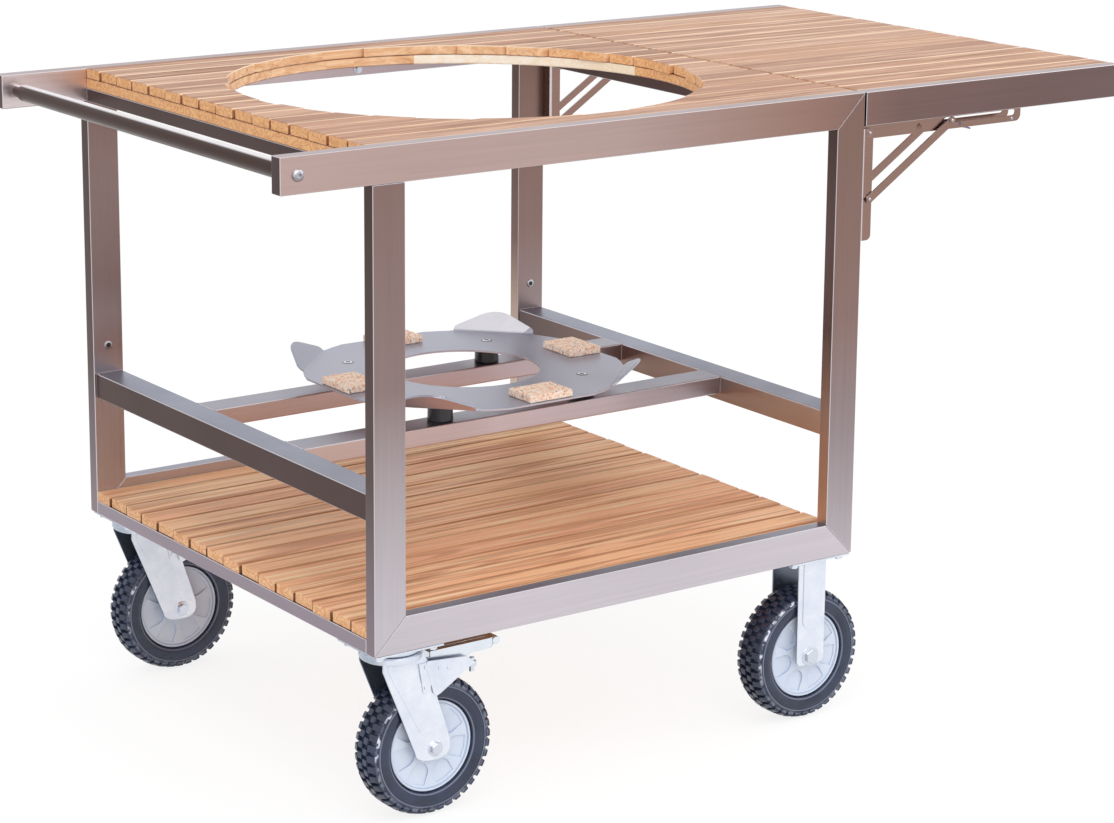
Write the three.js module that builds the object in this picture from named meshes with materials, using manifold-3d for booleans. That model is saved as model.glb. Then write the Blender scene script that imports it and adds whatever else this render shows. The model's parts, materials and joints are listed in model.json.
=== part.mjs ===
// Kamado grill table: a rolling stainless frame with a teak deck cut out for a round
// ceramic grill, a lower shelf, a stand plate on rubber feet, a fold-down side leaf on
// two slotted brackets, and four casters, two of them braked swivels.
// Millimetres, +Z up, +X along the table to the leaf, +Y to the back.
// The source measures X from the left legs' outer face and Y from the front frame's
// outer face, and centres the finished object on its box.

import * as THREE from 'three';
import { mergeVertices } from 'three/addons/utils/BufferGeometryUtils.js';
import Module from 'manifold-3d';

const wasm = await Module();
wasm.setup();

// Clearances and overruns shared by the whole table
const fit = {
  overrun: 5, // how far a cutting tool runs past what it cuts
  seat: 0.3, // gap where a piece rests in a turned or cut group
  pin: 0.3, // radial clearance of a pin in its hole
  turn: 0.6, // side clearance between turning parts
};

// Steps round a circle
const steps = { pin: 12, rod: 24, rim: 24, cutout: 84, wheel: 48, arc: 5, corner: 3, hexagon: 6 };

// Rectangular tube of the two side frames
const tube = { face: 50, depth: 22, wall: 1.5 };

// Wheels
const wheel = {
  radius: 100, halfWidth: 26, beadHalf: 20, shoulderHalf: 19, rimRadius: 65, lugDepth: 5, lugCount: 40,
  wallBulge: 79, hubRadius: 16, webHalf: 12, rimHalf: 21, lipWidth: 5, hubHalf: 27, boreClearance: 0.3,
};

// What is common to all casters; headroom lies between the tyre and the plate's top
const caster = {
  headroom: 57, plateLength: 110, plateWidth: 100, plateThickness: 4.5, plateCorner: 9, inset: 52, forkSheet: 3,
  forkGapHalf: 28, axleRadius: 6, nutRadius: 10, nutHeight: 7, boltRadius: 6.5, boltHeight: 5.5, boltCorner: 12,
};
caster.height = wheel.radius * 2 + caster.headroom;
caster.forkOuter = caster.forkGapHalf + caster.forkSheet;
caster.plateUnder = caster.height - caster.plateThickness;

// Main frame, legs to legs
const frame = { length: 834, width: 820, tubeLength: 690, overhang: 137 };
frame.base = caster.height;
frame.top = frame.base + frame.tubeLength;
frame.railUnder = frame.top - tube.face;
frame.innerFront = tube.depth;
frame.innerBack = frame.width - tube.depth;
frame.centreX = frame.length / 2;
frame.centreY = frame.width / 2;

// Crossbars under the deck, the shelf and the leaf
const crossbar = { width: 50, height: 20, wall: 1.5 };

// Stout middle crossbars and the flat rails that carry the stand plate
const middle = {
  width: 44, height: 38, wall: 2, inset: 4, topAboveBase: 221, railWidth: 50, railHeight: 27, railWall: 2,
};
middle.top = frame.base + middle.topAboveBase;

// Teak slats and battens
const slat = { pitch: 49.5, gap: 2.5, thickness: 15, leastEdge: 12, battenThickness: 15, battenWidth: 45 };

// Round cut-out, as wide as the frame's shorter side leaves inside its land
const cutout = { land: 63.5, ringWidth: 40 };
cutout.radius = Math.min(frame.length, frame.width) / 2 - cutout.land;

// Push handle between the rails' left ends
const handle = {
  radius: 12.5, neckRadius: 9.5, neckLength: 20, endInset: 26, boreRadius: 4.3, boreDepth: 30,
  screwRadius: 4, headRadius: 8.5, headHeight: 4.5, screwLength: 45,
};
handle.x = -frame.overhang + handle.endInset;
handle.z = frame.top - tube.face / 2;

// Side leaf
const leaf = { length: 512, gap: 3, crossbarInset: 12, farBarInset: 30 };
leaf.start = frame.length + leaf.gap;
leaf.end = leaf.start + leaf.length;

// Folding bracket, one under each leaf rail. Its own Y runs inwards from the frame's outer face.
const bracket = {
  sheet: 2, wallHeight: 165, wallDrop: 4, wallWidth: 34, wallInset: 4, flangeDepth: 19, cornerRadius: 8,
  armWidth: 28, armFlange: 20, armBack: 9, armReach: 300, slotStart: 150, slotEnd: 284.5, slotWidth: 9,
  pivotOut: 14.6, pivotDrop: 11, slotRise: 4.5, pivotPitch: 97, strutReach: 157, strutWidth: 12, strutSheet: 2,
  strutGap: 1, pinRadius: 4, headRadius: 5.8, headHeight: 0.9, notchGap: 1,
};
bracket.x = frame.length + bracket.pivotOut;
bracket.z = frame.railUnder - bracket.pivotDrop;
bracket.centreY = bracket.wallInset + bracket.wallWidth / 2;
bracket.armHalf = bracket.armWidth / 2;
bracket.wallHalf = bracket.wallWidth / 2;
bracket.strutHalf = bracket.wallHalf + bracket.strutGap;

// Release lever inside the arm
const lever = {
  pivotAt: 178, pivotBelow: 3, pinRadius: 2.5, width: 20, sheet: 2, length: 27, tailLength: 9, slope: 22,
};

// Stand plate for the grill
const plate = {
  thickness: 3, halfSize: 228, cornerRadius: 236, holeRadius: 113, footPitch: 126, earDistance: 219, earWidth: 150,
  earTopWidth: 46, earLength: 50, earSlope: 38, earRound: 12,
};
const foot = { radius: 19, height: 30 };
plate.under = middle.top + foot.height;
plate.top = plate.under + plate.thickness;
const pad = { length: 76, width: 58, thickness: 12, edgeInset: 1 };

// Swivel and fixed forks
const swivel = {
  axisX: 58, trail: 52, raceRadius: 42, raceHeight: 7, crownRadius: 44, crownHeight: 12, kingRadius: 7,
  kingNut: 11, kingNutHeight: 5, legTopHalf: 31, legBackDrop: 20, legFrontReach: 51, legFrontDrop: 40,
  legEndRadius: 18,
};
swivel.raceUnder = caster.plateUnder - swivel.raceHeight;
swivel.crownTop = swivel.raceUnder - fit.turn;
swivel.crownUnder = swivel.crownTop - swivel.crownHeight;
const fixed = { inset: 56, legHalf: 26, legBelowAxle: 13, legCorner: 9, webThickness: 3 };
fixed.x = frame.length - fixed.inset;

// Brake pedal, along X from the swivel's axis and up from its lower edge over the tyre
const pedal = {
  pinX: 33, pinRise: 13, pinRadius: 4, halfWidth: 26, sheet: 2.5, start: 24, crownGap: 3, reach: 157,
  topDrop: 18, tyreGap: 7, noseRadius: 14, toeStart: 82, toeEnd: 116, toeRise: 17, heelGap: 1.9,
};
pedal.under = wheel.radius * 2 + pedal.tyreGap;
pedal.top = caster.height - pedal.topDrop;

const colours = {
  steel: { color: 0xb5a59e, roughness: 0.35, metalness: 0.9 },
  teak: { color: 0xc98f5c, roughness: 0.65, metalness: 0 },
  bracketSteel: { color: 0xa8a09c, roughness: 0.3, metalness: 0.9 },
  plateSteel: { color: 0x9aa0ae, roughness: 0.25, metalness: 0.9 },
  zinc: { color: 0xc9d0dc, roughness: 0.3, metalness: 0.8 },
  rubber: { color: 0x2b2c30, roughness: 0.8, metalness: 0 },
  rim: { color: 0xcfd6e2, roughness: 0.45, metalness: 0.1 },
  pad: { color: 0xe2b78f, roughness: 0.9, metalness: 0 },
};

const table = new THREE.Group();

// Solids

/** A closed solid of the joining library from a three.js geometry. */
function solid(geometry) {
  const bare = geometry.clone();
  bare.deleteAttribute('normal');
  bare.deleteAttribute('uv');
  const merged = mergeVertices(bare);
  return new wasm.Manifold(new wasm.Mesh({
    numProp: 3,
    vertProperties: new Float32Array(merged.attributes.position.array),
    triVerts: new Uint32Array(merged.index.array),
  }));
}

/** A three.js geometry from a closed solid. */
function geometryOf(body) {
  const mesh = body.getMesh();
  const geometry = new THREE.BufferGeometry();
  geometry.setAttribute('position', new THREE.BufferAttribute(new Float32Array(mesh.vertProperties), 3));
  geometry.setIndex(new THREE.BufferAttribute(new Uint32Array(mesh.triVerts), 1));
  geometry.computeVertexNormals();
  return geometry;
}

/** Several solids joined into one. */
function joined(...bodies) {
  return bodies.reduce((sum, body) => sum.add(body));
}

/** A box between two corners. */
function box(x0, x1, y0, y1, z0, z1) {
  const geometry = new THREE.BoxGeometry(x1 - x0, y1 - y0, z1 - z0);
  geometry.translate((x0 + x1) / 2, (y0 + y1) / 2, (z0 + z1) / 2);
  return solid(geometry);
}

/** A shape through points, each an [across, up] pair. */
function outline(points) {
  return new THREE.Shape(points.map(([across, up]) => new THREE.Vector2(across, up)));
}

/** A flat shape in X and Y raised between two heights. */
function raised(shape, z0, z1, curveSegments = steps.arc) {
  const geometry = new THREE.ExtrudeGeometry(shape, { depth: z1 - z0, bevelEnabled: false, curveSegments });
  geometry.translate(0, 0, z0);
  return solid(geometry);
}

/** A shape in X and Z drawn out between two places in Y. */
function acrossY(shape, y0, y1, curveSegments = steps.arc) {
  const geometry = new THREE.ExtrudeGeometry(shape, { depth: y1 - y0, bevelEnabled: false, curveSegments });
  geometry.rotateX(Math.PI / 2);
  geometry.translate(0, y1, 0);
  return solid(geometry);
}

/** A cylinder along Y. */
function rodY(x, z, radius, y0, y1, segments = steps.pin) {
  const geometry = new THREE.CylinderGeometry(radius, radius, y1 - y0, segments);
  geometry.translate(x, (y0 + y1) / 2, z);
  return solid(geometry);
}

/** A hexagonal bolt head or nut along Y. */
function hexY(x, z, radius, y0, y1) {
  return rodY(x, z, radius, y0, y1, steps.hexagon);
}

/** A cylinder along Z. */
function rodZ(x, y, radius, z0, z1, segments = steps.pin) {
  const geometry = new THREE.CylinderGeometry(radius, radius, z1 - z0, segments);
  geometry.rotateX(Math.PI / 2);
  geometry.translate(x, y, (z0 + z1) / 2);
  return solid(geometry);
}

/** A rectangle with rounded corners, as a shape. */
function roundedRectangle(x0, x1, y0, y1, radius) {
  const shape = new THREE.Shape();
  shape.moveTo(x0 + radius, y0);
  shape.lineTo(x1 - radius, y0);
  shape.absarc(x1 - radius, y0 + radius, radius, -Math.PI / 2, 0, false);
  shape.lineTo(x1, y1 - radius);
  shape.absarc(x1 - radius, y1 - radius, radius, 0, Math.PI / 2, false);
  shape.lineTo(x0 + radius, y1);
  shape.absarc(x0 + radius, y1 - radius, radius, Math.PI / 2, Math.PI, false);
  shape.lineTo(x0, y0 + radius);
  shape.absarc(x0 + radius, y0 + radius, radius, Math.PI, Math.PI * 1.5, false);
  return shape;
}

/** Names a solid, colours it and puts it on the table. */
function place(name, body, colour, group = table) {
  const mesh = new THREE.Mesh(geometryOf(body), new THREE.MeshStandardMaterial(colours[colour]));
  mesh.name = name;
  group.add(mesh);
  return mesh;
}

/** The front half's Y for a back piece: the table mirrors about its middle. */
function mirroredY(y) {
  return frame.width - y;
}

/** The Y span of a side frame, front or back. */
function sideSpan(side) {
  return side === 'front' ? [0, tube.depth] : [frame.innerBack, frame.width];
}

// Frame

/** A side frame's tube: its outer outline in X and Z, and its bore's, which runs out at the open ends. */
function frameTube(name, side, outer, bore) {
  const [y0, y1] = sideSpan(side);
  const body = acrossY(outline(outer), y0, y1).subtract(
    acrossY(outline(bore), y0 + tube.wall, y1 - tube.wall));
  return { name: `${name}_${side}`, body };
}

/** A round hole through a top rail for the handle's screw. */
function handleHole(side) {
  const [y0, y1] = sideSpan(side);
  return rodY(handle.x, handle.z, handle.screwRadius + fit.pin, y0 - fit.overrun, y1 + fit.overrun);
}

for (const side of ['front', 'back']) {
  const { wall, face } = tube;
  const right = frame.length;
  const { base, top, railUnder } = frame;
  const out = fit.overrun;
  const left = -frame.overhang;

  const topRail = frameTube('top_rail', side,
    [[left, railUnder], [right - face, railUnder], [right, top], [left, top]],
    [[left + wall, railUnder + wall], [right - face + wall + out, railUnder + wall],
      [right - wall + out, top - wall], [left + wall, top - wall]]);
  place(topRail.name, topRail.body.subtract(handleHole(side)), 'steel');

  const leftLeg = frameTube('left_leg', side,
    [[0, base], [face, base + face], [face, railUnder], [0, railUnder]],
    [[wall, base + wall - out], [face - wall, base + face - wall - out], [face - wall, railUnder + out],
      [wall, railUnder + out]]);
  place(leftLeg.name, leftLeg.body, 'steel');

  const bottomRail = frameTube('bottom_rail', side,
    [[0, base], [right, base], [right - face, base + face], [face, base + face]],
    [[wall - out, base + wall], [right - wall + out, base + wall],
      [right - face + wall + out, base + face - wall], [face - wall - out, base + face - wall]]);
  place(bottomRail.name, bottomRail.body, 'steel');

  const rightLeg = frameTube('right_leg', side,
    [[right, base], [right, top], [right - face, railUnder], [right - face, base + face]],
    [[right - wall, base + wall - out], [right - wall, top - wall + out],
      [right - face + wall, railUnder + wall + out], [right - face + wall, base + face - wall - out]]);
  place(rightLeg.name, rightLeg.body, 'steel');
}

/** A crossbar: a tube along Y between the side frames, open at both ends. */
function barAlongY(name, x0, x1, z0, z1, wall, group = table, clearance = 0) {
  const y0 = frame.innerFront + clearance;
  const y1 = frame.innerBack - clearance;
  const body = box(x0, x1, y0, y1, z0, z1).subtract(
    box(x0 + wall, x1 - wall, y0 - fit.overrun, y1 + fit.overrun, z0 + wall, z1 - wall));
  return place(name, body, 'steel', group);
}

const deckUnder = frame.top - slat.thickness - slat.battenThickness;
const ends = { left: [0, crossbar.width], right: [frame.length - crossbar.width, frame.length] };
for (const [end, [x0, x1]] of Object.entries(ends)) {
  barAlongY(`deck_crossbar_${end}`, x0, x1, deckUnder - crossbar.height, deckUnder, crossbar.wall);
  barAlongY(`shelf_crossbar_${end}`, x0, x1, frame.base, frame.base + crossbar.height, crossbar.wall);
}
const middleEnds = {
  left: [middle.inset, middle.inset + middle.width],
  right: [frame.length - middle.inset - middle.width, frame.length - middle.inset],
};
for (const [end, [x0, x1]] of Object.entries(middleEnds)) {
  barAlongY(`middle_crossbar_${end}`, x0, x1, middle.top - middle.height, middle.top, middle.wall);
}

const middleRailY = { front: frame.centreY - plate.footPitch, back: frame.centreY + plate.footPitch };
for (const [side, y] of Object.entries(middleRailY)) {
  const x0 = middleEnds.left[1];
  const x1 = middleEnds.right[0];
  const half = middle.railWidth / 2;
  const wall = middle.railWall;
  const z0 = middle.top - middle.railHeight;
  const body = box(x0, x1, y - half, y + half, z0, middle.top).subtract(
    box(x0 - fit.overrun, x1 + fit.overrun, y - half + wall, y + half - wall, z0 + wall, middle.top - wall));
  place(`middle_rail_${side}`, body, 'steel');
}

// Handle

const handleBar = joined(
  rodY(handle.x, handle.z, handle.radius, frame.innerFront + handle.neckLength,
    frame.innerBack - handle.neckLength, steps.rod),
  rodY(handle.x, handle.z, handle.neckRadius, frame.innerFront, frame.innerBack, steps.rod),
).subtract(joined(
  rodY(handle.x, handle.z, handle.boreRadius, frame.innerFront - fit.overrun,
    frame.innerFront + handle.boreDepth),
  rodY(handle.x, handle.z, handle.boreRadius, frame.innerBack - handle.boreDepth,
    frame.innerBack + fit.overrun),
));
place('handle_bar', handleBar, 'steel');
for (const side of ['front', 'back']) {
  const y = (value) => (side === 'front' ? value : mirroredY(value));
  const span = (a, b) => [Math.min(y(a), y(b)), Math.max(y(a), y(b))];
  const screw = joined(
    rodY(handle.x, handle.z, handle.headRadius, ...span(-handle.headHeight, 0)),
    rodY(handle.x, handle.z, handle.screwRadius, ...span(-handle.headHeight / 2, handle.screwLength)),
  );
  place(`handle_screw_${side}`, screw, 'zinc');
}

// Decks

/** The Y spans of the slats: full ones centred, a narrower one along each rail. */
function slatSpans() {
  const half = slat.gap / 2;
  const pairs = Math.floor((frame.centreY - frame.innerFront - slat.leastEdge) / slat.pitch);
  const firstFull = frame.centreY - pairs * slat.pitch;
  const spans = [[frame.innerFront + fit.seat, firstFull - half]];
  for (let i = 0; i < pairs * 2; i += 1) {
    spans.push([firstFull + i * slat.pitch + half, firstFull + (i + 1) * slat.pitch - half]);
  }
  spans.push([mirroredY(firstFull) + half, frame.innerBack - fit.seat]);
  return spans;
}

/** A slatted deck whose top is at z: slats along X from x0 to x1, battens along Y at the given X spans. */
function slattedDeck(x0, x1, z, battens) {
  const under = z - slat.thickness;
  const slats = slatSpans().map(([y0, y1]) => box(x0, x1, y0, y1, under, z));
  const bars = battens.map(([a, b]) => box(a, b, frame.innerFront + fit.seat, frame.innerBack - fit.seat,
    under - slat.battenThickness, under));
  return joined(...bars, ...slats);
}

const ringOuter = cutout.radius + cutout.ringWidth;
const ring = rodZ(frame.centreX, frame.centreY, ringOuter, deckUnder, deckUnder + slat.battenThickness,
  steps.cutout)
  .intersect(box(0, frame.length, frame.innerFront + fit.seat, frame.innerBack - fit.seat,
    deckUnder - fit.overrun, frame.top));
const deck = slattedDeck(0, frame.length, frame.top,
  [[0, slat.battenWidth], [frame.length - slat.battenWidth, frame.length]])
  .add(ring)
  .subtract(rodZ(frame.centreX, frame.centreY, cutout.radius, deckUnder - fit.overrun, frame.top + fit.overrun,
    steps.cutout));
place('deck', deck, 'teak');

const shelfTop = frame.base + crossbar.height + slat.thickness;
const shelfBattenStart = crossbar.width + fit.overrun;
place('shelf', slattedDeck(0, frame.length, shelfTop, [
  [shelfBattenStart, shelfBattenStart + slat.battenWidth],
  [frame.centreX - slat.battenWidth / 2, frame.centreX + slat.battenWidth / 2],
  [frame.length - shelfBattenStart - slat.battenWidth, frame.length - shelfBattenStart],
]), 'teak');

// Side leaf

const leafBars = {
  near: [leaf.start + leaf.crossbarInset, leaf.start + leaf.crossbarInset + crossbar.width],
  far: [leaf.end - leaf.farBarInset - crossbar.width, leaf.end - leaf.farBarInset],
};
for (const side of ['front', 'back']) {
  const [y0, y1] = sideSpan(side);
  const { wall } = tube;
  const bore = box(leaf.start + wall, leaf.end + fit.overrun, y0 + wall, y1 - wall,
    frame.railUnder + wall, frame.top - wall);
  const body = box(leaf.start, leaf.end, y0, y1, frame.railUnder, frame.top).subtract(bore);
  place(`leaf_rail_${side}`, body, 'steel');
}
for (const [end, [x0, x1]] of Object.entries(leafBars)) {
  barAlongY(`leaf_crossbar_${end}`, x0, x1, deckUnder - crossbar.height, deckUnder, crossbar.wall);
}
place('leaf_deck', slattedDeck(leaf.start, leaf.end, frame.top, [leafBars.near, leafBars.far]), 'teak');

// Folding brackets

/** A shape in X and Z of a channel's flange: straight back, rounded corners away from it. */
function wallFlange() {
  const x0 = frame.length;
  const x1 = x0 + bracket.sheet + bracket.flangeDepth;
  const top = frame.railUnder - bracket.wallDrop;
  const bottom = top - bracket.wallHeight;
  const radius = bracket.cornerRadius;
  const shape = new THREE.Shape();
  shape.moveTo(x0, bottom);
  shape.lineTo(x1 - radius, bottom);
  shape.absarc(x1 - radius, bottom + radius, radius, -Math.PI / 2, 0, false);
  shape.lineTo(x1, top - radius);
  shape.absarc(x1 - radius, top - radius, radius, 0, Math.PI / 2, false);
  shape.lineTo(x0, top);
  return shape;
}

/** A shape in X and Z of the arm's flange: rounded about the pivot, sloped at the far end. */
function armFlange() {
  const top = frame.railUnder;
  const { x, z, armBack } = bracket;
  const end = x + bracket.armReach;
  const round = bracket.armFlange / 2;
  const shape = new THREE.Shape();
  shape.moveTo(x - armBack, top);
  shape.lineTo(x - armBack, z);
  shape.absarc(x, z, armBack, Math.PI, Math.PI * 1.5, false);
  shape.lineTo(end - round, z - armBack);
  shape.absarc(end - round, z - armBack + round, round, -Math.PI / 2, 0, false);
  shape.lineTo(end, top);
  return shape;
}

/** The arm's slot as a shape in X and Z. */
function armSlot() {
  const half = bracket.slotWidth / 2;
  const z = bracket.z + bracket.slotRise;
  const x0 = bracket.x + bracket.slotStart;
  const x1 = bracket.x + bracket.slotEnd;
  const shape = new THREE.Shape();
  shape.moveTo(x0, z - half);
  shape.lineTo(x1, z - half);
  shape.absarc(x1, z, half, -Math.PI / 2, Math.PI / 2, false);
  shape.lineTo(x0, z + half);
  shape.absarc(x0, z, half, Math.PI / 2, Math.PI * 1.5, false);
  return shape;
}

/** The notch in the arm's lower edge that takes the struts' low pin when the leaf is folded. */
function armNotch() {
  const half = bracket.pinRadius + bracket.notchGap;
  const x = bracket.x + bracket.pivotPitch;
  const shape = new THREE.Shape();
  shape.moveTo(x - half, bracket.z - bracket.armFlange);
  shape.lineTo(x + half, bracket.z - bracket.armFlange);
  shape.absarc(x, bracket.z, half, 0, Math.PI, false);
  return shape;
}

/** A flat bar with round ends between two points in X and Z. */
function barShape(from, to, half) {
  const angle = Math.atan2(to[1] - from[1], to[0] - from[0]);
  const shape = new THREE.Shape();
  shape.absarc(to[0], to[1], half, angle - Math.PI / 2, angle + Math.PI / 2, false);
  shape.absarc(from[0], from[1], half, angle + Math.PI / 2, angle + Math.PI * 1.5, false);
  return shape;
}

/** A pin along Y, riveted over with a flat head on each outer face it passes. */
function headedPin(x, z, y0, y1) {
  return joined(pinHead(x, z, y0, -1), rodY(x, z, bracket.pinRadius, y0, y1), pinHead(x, z, y1, 1));
}

/** A rivet head standing on a sheet's outer face at y, outwards by sign, its foot half a sheet deep. */
function pinHead(x, z, y, sign) {
  const ends = [y - (sign * bracket.sheet) / 2, y + sign * bracket.headHeight];
  return rodY(x, z, bracket.headRadius, Math.min(...ends), Math.max(...ends));
}

for (const side of ['front', 'back']) {
  const middleY = side === 'front' ? bracket.centreY : mirroredY(bracket.centreY);
  const { sheet, x, z, wallHalf, armHalf, strutHalf } = bracket;
  const lowZ = z - bracket.pivotPitch;
  const hole = bracket.pinRadius + fit.pin;

  const insideWall = box(frame.length + sheet, frame.length + sheet + bracket.flangeDepth + fit.overrun,
    middleY - wallHalf + sheet, middleY + wallHalf - sheet,
    frame.railUnder - bracket.wallDrop - bracket.wallHeight - fit.overrun, frame.railUnder);
  const wallChannel = acrossY(wallFlange(), middleY - wallHalf, middleY + wallHalf)
    .subtract(insideWall)
    .add(headedPin(x, z, middleY - wallHalf, middleY + wallHalf))
    .subtract(rodY(x, lowZ, hole, middleY - wallHalf - fit.overrun, middleY + wallHalf + fit.overrun));
  place(`bracket_wall_${side}`, wallChannel, 'bracketSteel');

  const leverX = x + lever.pivotAt;
  const leverZ = z - lever.pivotBelow;
  const insideArm = box(x - bracket.armBack - fit.overrun, x + bracket.armReach + fit.overrun,
    middleY - armHalf + sheet, middleY + armHalf - sheet, z - bracket.armFlange - fit.overrun,
    frame.railUnder - sheet);
  const through = [middleY - armHalf - fit.overrun, middleY + armHalf + fit.overrun];
  const arm = acrossY(armFlange(), middleY - armHalf, middleY + armHalf)
    .subtract(insideArm)
    .subtract(rodY(x, z, hole, ...through))
    .subtract(rodY(leverX, leverZ, lever.pinRadius + fit.pin, ...through))
    .subtract(acrossY(armSlot(), ...through))
    .subtract(acrossY(armNotch(), ...through));
  place(`bracket_arm_${side}`, arm, 'bracketSteel');

  const low = [x, lowZ];
  const high = [x + bracket.strutReach, z + bracket.slotRise];
  const half = bracket.strutWidth / 2;
  const outer = strutHalf + bracket.strutSheet;
  const stub = strutHalf - armHalf - fit.turn;
  const strut = joined(
    acrossY(barShape(low, high, half), middleY - outer, middleY - strutHalf),
    acrossY(barShape(low, high, half), middleY + strutHalf, middleY + outer),
    headedPin(...low, middleY - outer, middleY + outer),
    pinHead(...high, middleY - outer, -1),
    pinHead(...high, middleY + outer, 1),
    rodY(...high, bracket.pinRadius, middleY - outer, middleY - strutHalf + stub),
    rodY(...high, bracket.pinRadius, middleY + strutHalf - stub, middleY + outer),
  );
  place(`bracket_strut_${side}`, strut, 'bracketSteel');

  const slope = THREE.MathUtils.degToRad(lever.slope);
  const along = (distance, offset) => [
    leverX + distance * Math.cos(slope) + offset * Math.sin(slope),
    leverZ - distance * Math.sin(slope) + offset * Math.cos(slope),
  ];
  const thick = lever.sheet / 2;
  const blade = acrossY(outline([
    along(-lever.tailLength, -thick), along(lever.length, -thick), along(lever.length, thick),
    along(-lever.tailLength, thick),
  ]), middleY - lever.width / 2, middleY + lever.width / 2);
  place(`bracket_lever_${side}`, blade.add(
    rodY(leverX, leverZ, lever.pinRadius, middleY - armHalf, middleY + armHalf)), 'zinc');
}

// Stand plate, feet and pads

const quarterTurns = [0, 1, 2, 3].map((quarter) => (quarter * Math.PI) / 2);

/** The plate's flat outline: a circle trimmed straight on its four sides. */
function plateOutline() {
  const angle = Math.acos(plate.halfSize / plate.cornerRadius);
  const shape = new THREE.Shape();
  for (const start of quarterTurns) {
    shape.absarc(frame.centreX, frame.centreY, plate.cornerRadius, start + angle,
      start + Math.PI / 2 - angle, false);
  }
  return shape;
}

/** One turned-up ear on its bend line, which lies on a diagonal after the given turn. */
function ear(turn) {
  const halfBase = plate.earWidth / 2;
  const halfTop = plate.earTopWidth / 2;
  const shape = new THREE.Shape();
  shape.moveTo(-halfBase, -plate.thickness);
  shape.lineTo(halfBase, -plate.thickness);
  shape.lineTo(halfBase, 0);
  shape.quadraticCurveTo(halfTop + plate.earRound, plate.earLength - plate.earRound, halfTop, plate.earLength);
  shape.lineTo(-halfTop, plate.earLength);
  shape.quadraticCurveTo(-halfTop - plate.earRound, plate.earLength - plate.earRound, -halfBase, 0);
  const geometry = new THREE.ExtrudeGeometry(shape, {
    depth: plate.thickness, bevelEnabled: false, curveSegments: steps.arc,
  });
  geometry.rotateX(THREE.MathUtils.degToRad(plate.earSlope));
  geometry.rotateZ(turn - Math.PI / 4);
  const direction = turn + Math.PI / 4;
  geometry.translate(
    frame.centreX + plate.earDistance * Math.cos(direction),
    frame.centreY + plate.earDistance * Math.sin(direction),
    plate.under,
  );
  return solid(geometry);
}

/** What lies beyond an ear's bend line, to trim the flat plate there. */
function beyondBend(turn) {
  const reach = plate.cornerRadius;
  const geometry = new THREE.BoxGeometry(reach, reach * 2, plate.thickness + fit.overrun * 2);
  geometry.translate(plate.earDistance + reach / 2, 0, plate.under + plate.thickness / 2);
  geometry.rotateZ(turn + Math.PI / 4);
  geometry.translate(frame.centreX, frame.centreY, 0);
  return solid(geometry);
}

const standPlate = raised(plateOutline(), plate.under, plate.top)
  .subtract(joined(...quarterTurns.map(beyondBend)))
  .add(joined(...quarterTurns.map(ear)))
  .subtract(rodZ(frame.centreX, frame.centreY, plate.holeRadius, plate.under - fit.overrun,
    plate.top + fit.overrun, steps.wheel));
place('stand_plate', standPlate, 'plateSteel');

for (const [side, y] of Object.entries(middleRailY)) {
  const footX = { left: frame.centreX - plate.footPitch, right: frame.centreX + plate.footPitch };
  for (const [end, x] of Object.entries(footX)) {
    place(`foot_${side}_${end}`, rodZ(x, y, foot.radius, middle.top, plate.under, steps.rod), 'rubber');
  }
}

const padOut = plate.halfSize - pad.edgeInset - pad.width / 2;
const padPlaces = {
  left: [-padOut, 0, pad.width, pad.length],
  right: [padOut, 0, pad.width, pad.length],
  front: [0, -padOut, pad.length, pad.width],
  back: [0, padOut, pad.length, pad.width],
};
for (const [side, [dx, dy, sizeX, sizeY]] of Object.entries(padPlaces)) {
  const x = frame.centreX + dx;
  const y = frame.centreY + dy;
  place(`pad_${side}`, box(x - sizeX / 2, x + sizeX / 2, y - sizeY / 2, y + sizeY / 2, plate.top,
    plate.top + pad.thickness), 'pad');
}

// Casters

const axleZ = wheel.radius;

/** A solid of revolution about a wheel's axle, from [radius, across] pairs that close on themselves. */
function turned(x, y, points, segments) {
  const profile = [...points, points[0]].map(([radius, across]) => new THREE.Vector2(radius, across));
  const geometry = new THREE.LatheGeometry(profile, segments);
  geometry.translate(x, y, axleZ);
  return solid(geometry);
}

/** The plastic rim with its hub. */
function rimBody(x, y) {
  const { hubRadius, hubHalf, webHalf, rimHalf, rimRadius, lipWidth } = wheel;
  const bore = caster.axleRadius + wheel.boreClearance;
  const lip = rimRadius - lipWidth;
  return turned(x, y, [
    [bore, -hubHalf], [hubRadius, -hubHalf], [hubRadius, -webHalf], [lip, -webHalf], [lip, -rimHalf],
    [rimRadius, -rimHalf], [rimRadius, rimHalf], [lip, rimHalf], [lip, webHalf], [hubRadius, webHalf],
    [hubRadius, hubHalf], [bore, hubHalf],
  ], steps.rim);
}

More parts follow.
